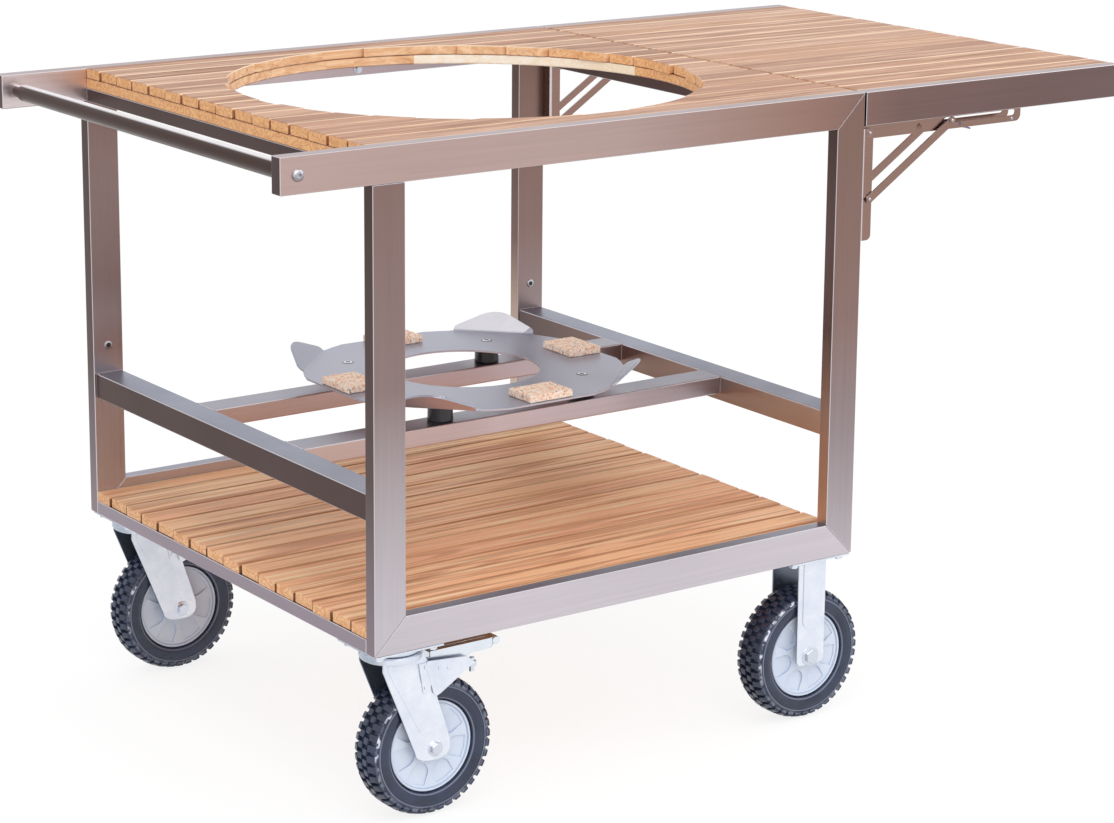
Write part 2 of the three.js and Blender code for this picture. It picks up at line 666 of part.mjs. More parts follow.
/** The rubber tyre: two rows of lugs, staggered, made by lifting every other step of the tread. */
function tyreBody(x, y) {
  const inner = wheel.rimRadius + fit.seat;
  const tread = wheel.radius - wheel.lugDepth;
  const rings = [
    [inner, -wheel.beadHalf, 0, 0], [wheel.wallBulge, -wheel.halfWidth, 0, 0],
    [tread, -wheel.shoulderHalf, 1, 0], [tread, 0, 1, 0], [tread, 0, 1, 1],
    [tread, wheel.shoulderHalf, 1, 1], [wheel.wallBulge, wheel.halfWidth, 0, 0], [inner, wheel.beadHalf, 0, 0],
  ];
  const count = wheel.lugCount * 2;
  const positions = [];
  for (let i = 0; i < count; i += 1) {
    for (const [radius, across, lifted, phase] of rings) {
      const lift = lifted && (i + phase) % 2 === 0 ? wheel.lugDepth : 0;
      const angle = (i * Math.PI * 2) / count;
      const out = radius + lift;
      positions.push(x + out * Math.cos(angle), y + across, axleZ + out * Math.sin(angle));
    }
  }
  const index = [];
  for (let i = 0; i < count; i += 1) {
    for (let j = 0; j < rings.length; j += 1) {
      const a = i * rings.length + j;
      const b = i * rings.length + ((j + 1) % rings.length);
      const c = ((i + 1) % count) * rings.length + j;
      const d = ((i + 1) % count) * rings.length + ((j + 1) % rings.length);
      index.push(a, b, c, b, d, c);
    }
  }
  const geometry = new THREE.BufferGeometry();
  geometry.setAttribute('position', new THREE.Float32BufferAttribute(positions, 3));
  geometry.setIndex(index);
  return solid(geometry);
}

/** A caster's top plate with its four bolt heads hanging under the corners. */
function topPlate(centreX, centreY) {
  const halfX = caster.plateLength / 2;
  const halfY = caster.plateWidth / 2;
  const under = caster.plateUnder;
  let body = raised(roundedRectangle(centreX - halfX, centreX + halfX, centreY - halfY, centreY + halfY,
    caster.plateCorner), under, caster.height, steps.corner);
  for (const signX of [-1, 1]) {
    for (const signY of [-1, 1]) {
      const x = centreX + signX * (halfX - caster.boltCorner);
      const y = centreY + signY * (halfY - caster.boltCorner);
      body = body.add(rodZ(x, y, caster.boltRadius, under - caster.boltHeight,
        under + caster.plateThickness / 2, steps.hexagon));
    }
  }
  return body;
}

/** The axle bolt with its head and nut outside the fork. */
function axleBody(x, y) {
  const outer = caster.forkOuter;
  return joined(
    rodY(x, axleZ, caster.axleRadius, y - outer, y + outer),
    hexY(x, axleZ, caster.nutRadius, y - outer - caster.nutHeight, y - outer + caster.forkSheet / 2),
    hexY(x, axleZ, caster.nutRadius, y + outer - caster.forkSheet / 2, y + outer + caster.nutHeight),
  );
}

/** One fork leg's outline for a swivel caster, raked back from the crown to the axle. */
function swivelLeg(x, crownTop) {
  const axleX = x + swivel.trail;
  const radius = swivel.legEndRadius;
  const shape = new THREE.Shape();
  shape.moveTo(x - swivel.legTopHalf, crownTop);
  shape.lineTo(x - swivel.legTopHalf, crownTop - swivel.legBackDrop);
  const dx = axleX - (x - swivel.legTopHalf);
  const dz = axleZ - (crownTop - swivel.legBackDrop);
  const angle = Math.atan2(dz, dx);
  const lift = Math.asin(radius / Math.hypot(dx, dz));
  shape.absarc(axleX, axleZ, radius, angle - lift - Math.PI / 2, angle + Math.PI / 2, false);
  shape.lineTo(x + swivel.legFrontReach, crownTop - swivel.legFrontDrop);
  shape.lineTo(x + swivel.legTopHalf, crownTop);
  return shape;
}

/** Both fork legs cut from one outline, at the fork's two sides. */
function forkLegs(shape, y) {
  const { forkGapHalf, forkOuter } = caster;
  return [acrossY(shape, y - forkOuter, y - forkGapHalf), acrossY(shape, y + forkGapHalf, y + forkOuter)];
}

const casterY = { front: caster.inset, back: mirroredY(caster.inset) };
for (const [side, y] of Object.entries(casterY)) {
  const { forkOuter, plateUnder } = caster;

  // Braked swivel caster at the left
  const x = swivel.axisX;
  const { raceUnder, crownTop, crownUnder } = swivel;
  const kingEnd = crownUnder - fit.turn - swivel.kingNutHeight;
  const head = joined(
    topPlate(x, y),
    rodZ(x, y, swivel.raceRadius, raceUnder, plateUnder + caster.plateThickness / 2, steps.rod),
    rodZ(x, y, swivel.kingRadius, kingEnd, plateUnder),
    rodZ(x, y, swivel.kingNut, kingEnd, crownUnder - fit.turn, steps.hexagon),
  );
  place(`swivel_plate_${side}`, head, 'zinc');

  const pinX = x + pedal.pinX;
  const pinZ = pedal.under + pedal.pinRise;
  const fork = joined(
    rodZ(x, y, swivel.crownRadius, crownUnder, crownTop, steps.rod),
    ...forkLegs(swivelLeg(x, crownTop), y),
    axleBody(x + swivel.trail, y),
  ).subtract(joined(
    rodZ(x, y, swivel.kingRadius + fit.pin, crownUnder - fit.overrun, crownTop + fit.overrun),
    rodY(pinX, pinZ, pedal.pinRadius + fit.pin, y - forkOuter - fit.overrun, y + forkOuter + fit.overrun),
  ));
  place(`swivel_fork_${side}`, fork, 'zinc');
  place(`swivel_rim_${side}`, rimBody(x + swivel.trail, y), 'rim');
  place(`swivel_tyre_${side}`, tyreBody(x + swivel.trail, y), 'rubber');

  // Brake pedal: a channel pivoting on a pin through the fork legs
  const heelTop = crownUnder - pedal.heelGap;
  const toeUnder = pedal.under + pedal.toeRise;
  const topStart = swivel.crownRadius + pedal.crownGap;
  const sideShape = outline([
    [x + pedal.start, heelTop], [x + pedal.start, pedal.under], [x + pedal.toeStart, pedal.under],
    [x + pedal.toeEnd, toeUnder], [x + pedal.reach, toeUnder], [x + pedal.reach, pedal.top],
    [x + topStart, pedal.top], [x + topStart, heelTop],
  ]);
  const hollow = box(x, x + pedal.reach - pedal.sheet, y - pedal.halfWidth + pedal.sheet,
    y + pedal.halfWidth - pedal.sheet, axleZ, pedal.top - pedal.sheet);
  const nose = raised(roundedRectangle(x - pedal.reach, x + pedal.reach, y - pedal.halfWidth, y + pedal.halfWidth,
    pedal.noseRadius), axleZ, caster.height);
  const pedalBody = acrossY(sideShape, y - pedal.halfWidth, y + pedal.halfWidth)
    .subtract(hollow)
    .intersect(nose)
    .add(rodY(pinX, pinZ, pedal.pinRadius, y - forkOuter, y + forkOuter));
  place(`brake_pedal_${side}`, pedalBody, 'zinc');

  // Fixed caster at the right
  const legTop = plateUnder + caster.plateThickness / 2;
  const legShape = new THREE.Shape();
  const legLeft = fixed.x - fixed.legHalf;
  const legRight = fixed.x + fixed.legHalf;
  const legEnd = axleZ - fixed.legBelowAxle;
  legShape.moveTo(legLeft, legTop);
  legShape.lineTo(legLeft, legEnd + fixed.legCorner);
  const cornerZ = legEnd + fixed.legCorner;
  legShape.absarc(legLeft + fixed.legCorner, cornerZ, fixed.legCorner, Math.PI, Math.PI * 1.5, false);
  legShape.absarc(legRight - fixed.legCorner, cornerZ, fixed.legCorner, Math.PI * 1.5, Math.PI * 2, false);
  legShape.lineTo(legRight, legTop);
  const fixedFork = joined(
    topPlate(fixed.x, y),
    box(legLeft, legRight, y - forkOuter, y + forkOuter, plateUnder - fixed.webThickness, legTop),
    ...forkLegs(legShape, y),
    axleBody(fixed.x, y),
  );
  place(`fixed_fork_${side}`, fixedFork, 'zinc');
  place(`fixed_rim_${side}`, rimBody(fixed.x, y), 'rim');
  place(`fixed_tyre_${side}`, tyreBody(fixed.x, y), 'rubber');
}

// The origin is the middle of the object's box, on the floor
table.position.set(-(leaf.end - frame.overhang) / 2, -frame.centreY, 0);
const kamadoTable = new THREE.Group();
kamadoTable.add(table);

export default kamadoTable;
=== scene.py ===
"""Dresses the kamado grill table: steel frame, teak decks, folding leaf, stand plate and casters."""

from __future__ import annotations

import json
import logging
import math
from collections.abc import Callable, Iterable, Iterator
from contextlib import contextmanager
from dataclasses import dataclass, field
from enum import Enum
from functools import reduce

import bpy
from mathutils import Matrix, Vector

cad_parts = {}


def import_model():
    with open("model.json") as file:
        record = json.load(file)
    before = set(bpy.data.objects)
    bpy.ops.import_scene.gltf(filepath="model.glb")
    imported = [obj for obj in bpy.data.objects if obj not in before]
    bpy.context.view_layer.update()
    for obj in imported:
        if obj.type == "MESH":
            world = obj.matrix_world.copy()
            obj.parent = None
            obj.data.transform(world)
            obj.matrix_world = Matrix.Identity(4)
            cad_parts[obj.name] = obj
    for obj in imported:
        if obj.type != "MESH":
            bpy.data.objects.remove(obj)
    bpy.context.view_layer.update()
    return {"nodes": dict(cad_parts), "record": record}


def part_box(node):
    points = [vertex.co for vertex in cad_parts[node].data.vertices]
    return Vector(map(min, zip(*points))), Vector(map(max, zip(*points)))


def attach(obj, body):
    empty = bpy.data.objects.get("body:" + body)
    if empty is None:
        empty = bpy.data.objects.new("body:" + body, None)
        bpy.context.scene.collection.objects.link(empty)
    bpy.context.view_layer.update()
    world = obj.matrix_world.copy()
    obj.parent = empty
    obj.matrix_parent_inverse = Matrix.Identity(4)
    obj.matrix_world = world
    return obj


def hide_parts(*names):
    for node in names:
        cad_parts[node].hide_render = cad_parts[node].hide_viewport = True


LOG = logging.getLogger("kamado_table")
MM = 0.001
Point = tuple[float, float, float]
Flat = tuple[float, float]
Colour = tuple[float, float, float, float]
Sweep = tuple[tuple[float, Colour], ...]

WHITE: Colour = (1.0, 1.0, 1.0, 1.0)
TABLE_BODY = "table"
LEAF_BODY = "leaf"
LEAF_SEAM = 0.2295
SHELF_BELOW = 0.6
WHEEL_RADIUS = 0.1
TRAIL = 52.0 * MM


class Axis(Enum):
    """One of the three axes of the table's frame."""

    X = 0
    Y = 1
    Z = 2

    @property
    def unit(self) -> Vector:
        """The axis as a unit vector.

        Returns:
            The vector.
        """
        direction = Vector((0.0, 0.0, 0.0))
        direction[self.value] = 1.0
        return direction


class Side(Enum):
    """The table's front or back half; the sign points away from the middle."""

    FRONT = ("front", -1.0)
    BACK = ("back", 1.0)

    @property
    def label(self) -> str:
        """The word that the side's node names end in."""
        return self.value[0]

    @property
    def sign(self) -> float:
        """Minus one at the front and one at the back."""
        return self.value[1]


# Modelling by hand


def scaled(points: Iterable[Flat]) -> tuple[Flat, ...]:
    """Points given in millimetres, as metres."""
    return tuple((first * MM, second * MM) for first, second in points)


def arc(x: float, z: float, radius: float, start: float, end: float, count: int) -> list[Flat]:
    """Points along an arc in X and Z.

    Args:
        x: centre.
        z: centre.
        radius: radius.
        start: first angle in degrees.
        end: last angle in degrees.
        count: how many steps.

    Returns:
        The points.
    """
    angles = [math.radians(start + (end - start) * step / count) for step in range(count + 1)]
    return [(x + radius * math.cos(angle), z + radius * math.sin(angle)) for angle in angles]


def object_mode() -> None:
    """Leaves edit mode if it is on."""
    if bpy.context.mode != "OBJECT":
        bpy.ops.object.mode_set(mode="OBJECT")


def take(*pieces: bpy.types.Object) -> None:
    """Selects only these pieces, the first one active.

    Args:
        *pieces: the pieces to select.
    """
    object_mode()
    bpy.ops.object.select_all(action="DESELECT")
    for piece in pieces:
        piece.select_set(True)
    bpy.context.view_layer.objects.active = pieces[0]


@contextmanager
def editing(piece: bpy.types.Object, mode: str = "VERT", whole: bool = False) -> Iterator[None]:
    """Edit mode on one piece, left again at the end.

    Args:
        piece: the piece to edit.
        mode: what is selected, VERT, EDGE or FACE.
        whole: whether all of it is selected at the start.

    Yields:
        Nothing; the body runs in edit mode.
    """
    take(piece)
    bpy.ops.object.mode_set(mode="EDIT")
    bpy.context.tool_settings.mesh_select_mode = (mode == "VERT", mode == "EDGE", mode == "FACE")
    if whole:
        bpy.ops.mesh.select_all(action="SELECT")
    yield
    bpy.ops.object.mode_set(mode="OBJECT")


def settle(piece: bpy.types.Object) -> bpy.types.Object:
    """Puts the piece's place, turn and scale into its mesh.

    Args:
        piece: the piece to settle.

    Returns:
        The same piece, its object at the origin.
    """
    take(piece)
    bpy.ops.object.transform_apply(location=True, rotation=True, scale=True)
    return piece


def modified(piece: bpy.types.Object, kind: str, **settings: object) -> bpy.types.Object:
    """Puts a modifier on a piece and applies it.

    Args:
        piece: the piece to change.
        kind: the modifier's type.
        **settings: its settings.

    Returns:
        The changed piece.
    """
    take(piece)
    modifier = piece.modifiers.new(kind.lower(), kind)
    for name, value in settings.items():
        setattr(modifier, name, value)
    bpy.ops.object.modifier_apply(modifier=modifier.name)
    return piece


def select_none(piece: bpy.types.Object) -> bpy.types.Mesh:
    """The piece's mesh, with nothing selected.

    Args:
        piece: the piece, in object mode.

    Returns:
        The mesh.
    """
    mesh = piece.data
    for group in (mesh.vertices, mesh.edges, mesh.polygons):
        group.foreach_set("select", [False] * len(group))
    return mesh


def pick_faces(piece: bpy.types.Object, test: Callable[[Vector], bool]) -> None:
    """Selects faces by the way they look.

    Args:
        piece: the piece, in object mode.
        test: takes a face's normal and says whether to select it.
    """
    for face in select_none(piece).polygons:
        face.select = test(face.normal)


def bevel_edges(piece: bpy.types.Object, width: float, test: Callable[[Vector, Vector], bool],
                segments: int = 3) -> bpy.types.Object:
    """Rounds chosen edges with the bevel operator.

    Args:
        piece: the piece to round.
        width: the round's width in metres.
        test: takes an edge's two ends and says whether it is rounded.
        segments: steps across the round.

    Returns:
        The same piece.
    """
    mesh = select_none(piece)
    for edge in mesh.edges:
        ends = [mesh.vertices[index] for index in edge.vertices]
        if test(*(end.co for end in ends)):
            for part in (edge, *ends):
                part.select = True
    with editing(piece, "EDGE"):
        bpy.ops.mesh.bevel(offset=width, segments=segments, affect="EDGES", clamp_overlap=True)
    return piece


def round_off(piece: bpy.types.Object, width: float, segments: int = 3,
              angle: float = 40.0) -> bpy.types.Object:
    """Rounds every edge sharper than an angle.

    Args:
        piece: the piece to round.
        width: the round's width in metres.
        segments: steps across the round.
        angle: least angle in degrees.

    Returns:
        The same piece.
    """
    return modified(piece, "BEVEL", width=width, segments=segments, limit_method="ANGLE",
                    angle_limit=math.radians(angle), harden_normals=False)


def added(name: str, primitive: Callable[..., set[str]], **settings: object) -> bpy.types.Object:
    """A new primitive under a name of its own.

    Args:
        name: the piece's name.
        primitive: the operator that adds it.
        **settings: the operator's settings.

    Returns:
        The new piece.
    """
    object_mode()
    bpy.ops.object.select_all(action="DESELECT")
    primitive(**settings)
    piece = bpy.context.object
    piece.name = name
    return piece


def box(name: str, low: Point, high: Point) -> bpy.types.Object:
    """A cube primitive stretched between two corners.

    Args:
        name: the piece's name.
        low: lowest corner in metres.
        high: highest corner in metres.

    Returns:
        The new piece.
    """
    middle = [(a + b) / 2 for a, b in zip(low, high)]
    piece = added(name, bpy.ops.mesh.primitive_cube_add, size=1.0, location=middle)
    piece.scale = [b - a for a, b in zip(low, high)]
    return settle(piece)


def rod(name: str, axis: Axis, centre: Point, radius: float, length: float, sides: int) -> bpy.types.Object:
    """A cylinder primitive along an axis.

    Args:
        name: the piece's name.
        axis: the direction it lies along.
        centre: its middle in metres.
        radius: its radius.
        length: its length.
        sides: steps round it.

    Returns:
        The new piece.
    """
    turn = {Axis.X: (0.0, math.pi / 2, 0.0), Axis.Y: (-math.pi / 2, 0.0, 0.0), Axis.Z: (0.0, 0.0, 0.0)}
    return settle(added(name, bpy.ops.mesh.primitive_cone_add, vertices=sides, radius1=radius,
                        radius2=radius, depth=length, location=centre, rotation=turn[axis]))


def chain(name: str, points: Iterable[Point]) -> bpy.types.Object:
    """A closed run of edges through points, drawn by extruding one vertex.

    Args:
        name: the piece's name.
        points: where the vertices lie.

    Returns:
        The new piece, edges only.
    """
    places = [Vector(point) for point in points]
    piece = added(name, bpy.ops.mesh.primitive_plane_add, size=MM, location=(0.0, 0.0, 0.0))
    with editing(piece, whole=True):
        bpy.ops.mesh.merge(type="CENTER")
        bpy.ops.transform.translate(value=places[0])
        for before, after in zip(places, [*places[1:], places[0]]):
            bpy.ops.mesh.extrude_vertices_move(TRANSFORM_OT_translate={"value": after - before})
        bpy.ops.mesh.select_all(action="SELECT")
        bpy.ops.mesh.remove_doubles(threshold=MM / 100)
    return piece


def turned(name: str, axis: Axis, centre: Point, profile: Iterable[Flat], steps: int) -> bpy.types.Object:
    """A body turned about an axis from a closed profile.

    Args:
        name: the piece's name.
        axis: the axis it is turned about.
        centre: a point on that axis.
        profile: pairs of radius and place along the axis, in order round the section.
        steps: how many steps round.

    Returns:
        The new piece, closed and facing outwards.
    """
    out = Axis((axis.value + 1) % 3).unit
    middle = Vector(centre)
    piece = chain(name, [middle + out * radius + axis.unit * along for radius, along in profile])
    with editing(piece, whole=True):
        bpy.ops.mesh.spin(steps=steps, angle=math.tau, center=middle, axis=axis.unit)
        bpy.ops.mesh.select_all(action="SELECT")
        bpy.ops.mesh.remove_doubles(threshold=MM / 100)
        bpy.ops.mesh.delete_loose()
        bpy.ops.mesh.select_all(action="SELECT")
        bpy.ops.mesh.normals_make_consistent(inside=False)
    return piece


def sheet_metal(name: str, outline: Iterable[Flat], near: float, far: float,
                axis: Axis = Axis.Y) -> bpy.types.Object:
    """A flat sheet cut to an outline, lying between two places along its axis.

    Args:
        name: the piece's name.
        outline: pairs of X and Z, or of X and Y for the upright axis.
        near: one place along the axis.
        far: the other place.
        axis: Y or Z, across which the sheet lies.

    Returns:
        The new piece.
    """
    low, high = sorted((near, far))
    piece = chain(name, [(x, other, low) if axis is Axis.Z else (x, low, other) for x, other in outline])
    with editing(piece, whole=True):
        bpy.ops.mesh.edge_face_add()
        bpy.ops.mesh.extrude_region_move(TRANSFORM_OT_translate={"value": axis.unit * (high - low)})
        bpy.ops.mesh.select_all(action="SELECT")
        bpy.ops.mesh.normals_make_consistent(inside=False)
    return piece


def cut(piece: bpy.types.Object, tool: bpy.types.Object) -> bpy.types.Object:
    """Cuts a piece with a closed tool shape, which is used up.

    Args:
        piece: the piece to change.
        tool: the shape that is taken away.

    Returns:
        The changed piece.
    """
    modified(piece, "BOOLEAN", operation="DIFFERENCE", solver="EXACT", object=tool)
    bpy.data.objects.remove(tool)
    return piece


def joined(name: str, pieces: list[bpy.types.Object]) -> bpy.types.Object:
    """Several pieces as one object.

    Args:
        name: the new name.
        pieces: the pieces, used up.

    Returns:
        The one piece.
    """
    take(*pieces)
    if len(pieces) > 1:
        bpy.ops.object.join()
    piece = bpy.context.view_layer.objects.active
    piece.name = name
    piece.data.name = name
    return piece


def copied(piece: bpy.types.Object, name: str, shift: Point = (0.0, 0.0, 0.0)) -> bpy.types.Object:
    """A shifted copy with its own mesh.

    Args:
        piece: what to copy.
        name: the copy's name.
        shift: how far to move it.

    Returns:
        The copy.
    """
    twin = bpy.data.objects.new(name, piece.data.copy())
    bpy.context.scene.collection.objects.link(twin)
    twin.data.transform(Matrix.Translation(shift))
    return twin


def node_copy(node: str, name: str) -> bpy.types.Object:
    """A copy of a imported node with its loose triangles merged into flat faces.

    Args:
        node: the node's name.
        name: the copy's name.

    Returns:
        The copy.
    """
    twin = copied(bpy.data.objects[node], name)
    twin.data.materials.clear()
    with editing(twin, whole=True):
        bpy.ops.mesh.remove_doubles(threshold=MM / 1000)
        bpy.ops.mesh.dissolve_limited(angle_limit=math.radians(0.5))
    return twin


def centre_of(node: str) -> Point:
    """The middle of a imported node's box.

    Args:
        node: the node's name.

    Returns:
        Its X, Y and Z in metres.
    """
    low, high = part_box(node)
    return tuple((a + b) / 2 for a, b in zip(low, high))


def swivel_axis(label: str) -> float:
    """The X of a swivel caster's upright axis, which its wheel trails.

    Args:
        label: front or back.

    Returns:
        The X in metres.
    """
    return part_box(f"swivel_tyre_{label}")[0][0] + WHEEL_RADIUS - TRAIL


def dressed(piece: bpy.types.Object, finish: Finish, body: str, replaces: tuple[str, ...] = (),
            smooth: float = 35.0) -> bpy.types.Object:
    """Smooths a piece, gives it its finish and hangs it on its body.

    Args:
        piece: the finished shape.
        finish: its finish.
        body: the body it rides on.
        replaces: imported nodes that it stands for.
        smooth: angle in degrees below which shading is smooth.

    Returns:
        The same piece.
    """
    take(piece)
    bpy.ops.object.shade_smooth_by_angle(angle=math.radians(smooth))
    modified(piece, "WEIGHTED_NORMAL", keep_sharp=True)
    piece.data.materials.clear()
    piece.data.materials.append(finish.material())
    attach(piece, body)
    if replaces:
        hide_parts(*replaces)
    LOG.info("%s on %s, %d faces", piece.name, body, len(piece.data.polygons))
    return piece


# Colours, node graphs and shared effects


def tone(red: int, green: int, blue: int) -> Colour:
    """A screen colour from 0 to 255 as the renderer's linear colour.

    Args:
        red: red share.
        green: green share.
        blue: blue share.

    Returns:
        Linear red, green, blue and an alpha of one.
    """
    def linear(value: int) -> float:
        """One channel made linear."""
        share = value / 255
        return share / 12.92 if share <= 0.04045 else ((share + 0.055) / 1.055) ** 2.4

    return (linear(red), linear(green), linear(blue), 1.0)


@dataclass
class Graph:
    """A node tree with short ways to add and wire nodes."""

    tree: bpy.types.NodeTree

    def plug(self, socket: bpy.types.NodeSocket, value: object) -> None:
        """Wires an input to another socket, or sets it to a plain value.

        Args:
            socket: the input.
            value: a socket, number, vector or colour.
        """
        if isinstance(value, bpy.types.NodeSocket):
            self.tree.links.new(value, socket)
        else:
            socket.default_value = value

    def feed(self, node: bpy.types.Node, **inputs: object) -> None:
        """Fills a node's inputs.

        Args:
            node: the node.
            **inputs: socket names, with underscores for spaces.
        """
        for name, value in inputs.items():
            self.plug(node.inputs[name.replace("_", " ")], value)

    def add(self, kind: str, **inputs: object) -> bpy.types.Node:
        """A new node, its sockets set or wired by name.

        Args:
            kind: the node's type without its ShaderNode prefix.
            **inputs: socket names, with underscores for spaces, or properties in small letters.

        Returns:
            The node.
        """
        node = self.tree.nodes.new("ShaderNode" + kind)
        for name, value in inputs.items():
            if name[0].islower():
                setattr(node, name, value)
            else:
                self.feed(node, **{name: value})
        return node

    def effect(self, name: str, vector: bpy.types.NodeSocket,
               **inputs: float) -> bpy.types.bpy_prop_collection:
        """The outputs of a shared effect.

        Args:
            name: brushed_lines, handling_marks, teak_board or grit.
            vector: where it is read.
            **inputs: the group's other inputs.

        Returns:
            The group node's outputs, by name.
        """
        return self.add("Group", node_tree=Effects.group(name), Vector=vector, **inputs).outputs

    def math(self, how: str, *values: object) -> bpy.types.NodeSocket:
        """A Math node's result.

        Args:
            how: the operation.
            *values: numbers or sockets.

        Returns:
            The output socket.
        """
        node = self.add("Math", operation=how)
        for socket, value in zip(node.inputs, values):
            self.plug(socket, value)
        return node.outputs[0]

    def times(self, *values: object) -> bpy.types.NodeSocket:
        """Several values multiplied together, from the first to the last."""
        return reduce(lambda product, value: self.math("MULTIPLY", product, value), values)

    def plus(self, first: object, second: object) -> bpy.types.NodeSocket:
        """The sum of two values."""
        return self.math("ADD", first, second)

    def minus(self, first: object, second: object) -> bpy.types.NodeSocket:
        """The first value less the second."""
        return self.math("SUBTRACT", first, second)

    def absolute(self, value: object) -> bpy.types.NodeSocket:
        """A value without its sign."""
        return self.math("ABSOLUTE", value)

    def away(self, value: object, spot: object) -> bpy.types.NodeSocket:
        """How far a value lies from a spot."""
        return self.absolute(self.minus(value, spot))

    def above(self, value: object, limit: object) -> bpy.types.NodeSocket:
        """One where a value is greater than a limit."""
        return self.math("GREATER_THAN", value, limit)

    def below(self, value: object, limit: object) -> bpy.types.NodeSocket:
        """One where a value is less than a limit."""
        return self.math("LESS_THAN", value, limit)

    def vector(self, how: str, first: object, second: object) -> bpy.types.NodeSocket:
        """A Vector Math node's result.

        Args:
            how: the operation.
            first: first vector or socket.
            second: second vector or socket.

        Returns:
            The output socket.
        """
        node = self.add("VectorMath", operation=how)
        for socket, value in zip(node.inputs, (first, second)):
            self.plug(socket, value)
        return node.outputs[0]

    def split(self, vector: bpy.types.NodeSocket) -> bpy.types.bpy_prop_collection:
        """A vector's X, Y and Z."""
        return self.add("SeparateXYZ", Vector=vector).outputs

    def place(self) -> bpy.types.NodeSocket:
        """Object coordinates, which are metres in the table's frame."""
        return self.add("TexCoord").outputs["Object"]

    def facing(self) -> bpy.types.bpy_prop_collection:
        """The way a face looks on its own piece, as X, Y and Z, so that paint follows a moving piece."""
        return self.split(self.add("TexCoord").outputs["Normal"])

    def blend(self, share: object, low: object, high: object, how: str = "MIX") -> bpy.types.NodeSocket:
        """Two colours mixed.

        Args:
            share: number or socket.
            low: the colour at nought.
            high: the colour at one.
            how: the blend type.

        Returns:
            The mixed colour.
        """
        node = self.add("Mix", data_type="RGBA", blend_type=how)
        for index, value in ((0, share), (6, low), (7, high)):
            self.plug(node.inputs[index], value)
        return node.outputs[2]

    def dimmed(self, colour: object, share: bpy.types.NodeSocket) -> bpy.types.NodeSocket:
        """A colour multiplied by a share.

        Args:
            colour: the colour.
            share: how much of it stays.

        Returns:
            The product.
        """
        grey = self.add("CombineColor", Red=share, Green=share, Blue=share).outputs[0]
        return self.blend(1.0, colour, grey, "MULTIPLY")

    def spread(self, value: bpy.types.NodeSocket, low: float, high: float, to_low: float = 0.0,
               to_high: float = 1.0) -> bpy.types.NodeSocket:
        """A value mapped from one span to another, and clamped.

        Args:
            value: the socket to map.
            low: the span's low end.
            high: its high end.
            to_low: what the low end becomes.
            to_high: what the high end becomes.

        Returns:
            The mapped value.
        """
        node = self.add("MapRange", Value=value, From_Min=low, From_Max=high, To_Min=to_low, To_Max=to_high)
        return node.outputs[0]

    def noise(self, vector: bpy.types.NodeSocket, scale: float, detail: float = 2.0, rough: float = 0.5,
              warp: float = 0.0) -> bpy.types.NodeSocket:
        """Noise at a scale.

        Args:
            vector: where it is read.
            scale: cells per metre of that vector.
            detail: octaves.
            rough: weight of the fine octaves.
            warp: distortion.

        Returns:
            The noise's value.
        """
        return self.add("TexNoise", Vector=vector, Scale=scale, Detail=detail, Roughness=rough,
                        Distortion=warp).outputs[0]

    def stretched(self, vector: bpy.types.NodeSocket, scales: Point, detail: float = 2.0, rough: float = 0.5,
                  warp: float = 0.0) -> bpy.types.NodeSocket:
        """Noise with a scale of its own along each axis.

        Args:
            vector: where it is read.
            scales: cells per metre along X, Y and Z.
            detail: octaves.
            rough: weight of the fine octaves.
            warp: distortion.

        Returns:
            The noise's value.
        """
        return self.noise(self.vector("MULTIPLY", vector, scales), 1.0, detail, rough, warp)

    def ramp(self, value: bpy.types.NodeSocket, stops: Iterable[tuple[float, tuple]]) -> bpy.types.NodeSocket:
        """A colour ramp.

        Args:
            value: what drives it.
            stops: places and colours.

        Returns:
            The colour.
        """
        node = self.add("ValToRGB", Fac=value)
        points = node.color_ramp.elements
        first, *others, last = stops
        points[0].position, points[0].color = first
        points[1].position, points[1].color = last
        for spot, colour in others:
            points.new(spot).color = colour
        return node.outputs[0]

    def bump(self, height: bpy.types.NodeSocket, depth: float, strength: float = 1.0) -> bpy.types.NodeSocket:
        """A bump normal of a real depth.

        Args:
            height: the height mask.
            depth: how deep one unit is, in metres.
            strength: how much of it shows.

        Returns:
            The normal.
        """
        return self.add("Bump", Height=height, Distance=depth, Strength=strength).outputs[0]


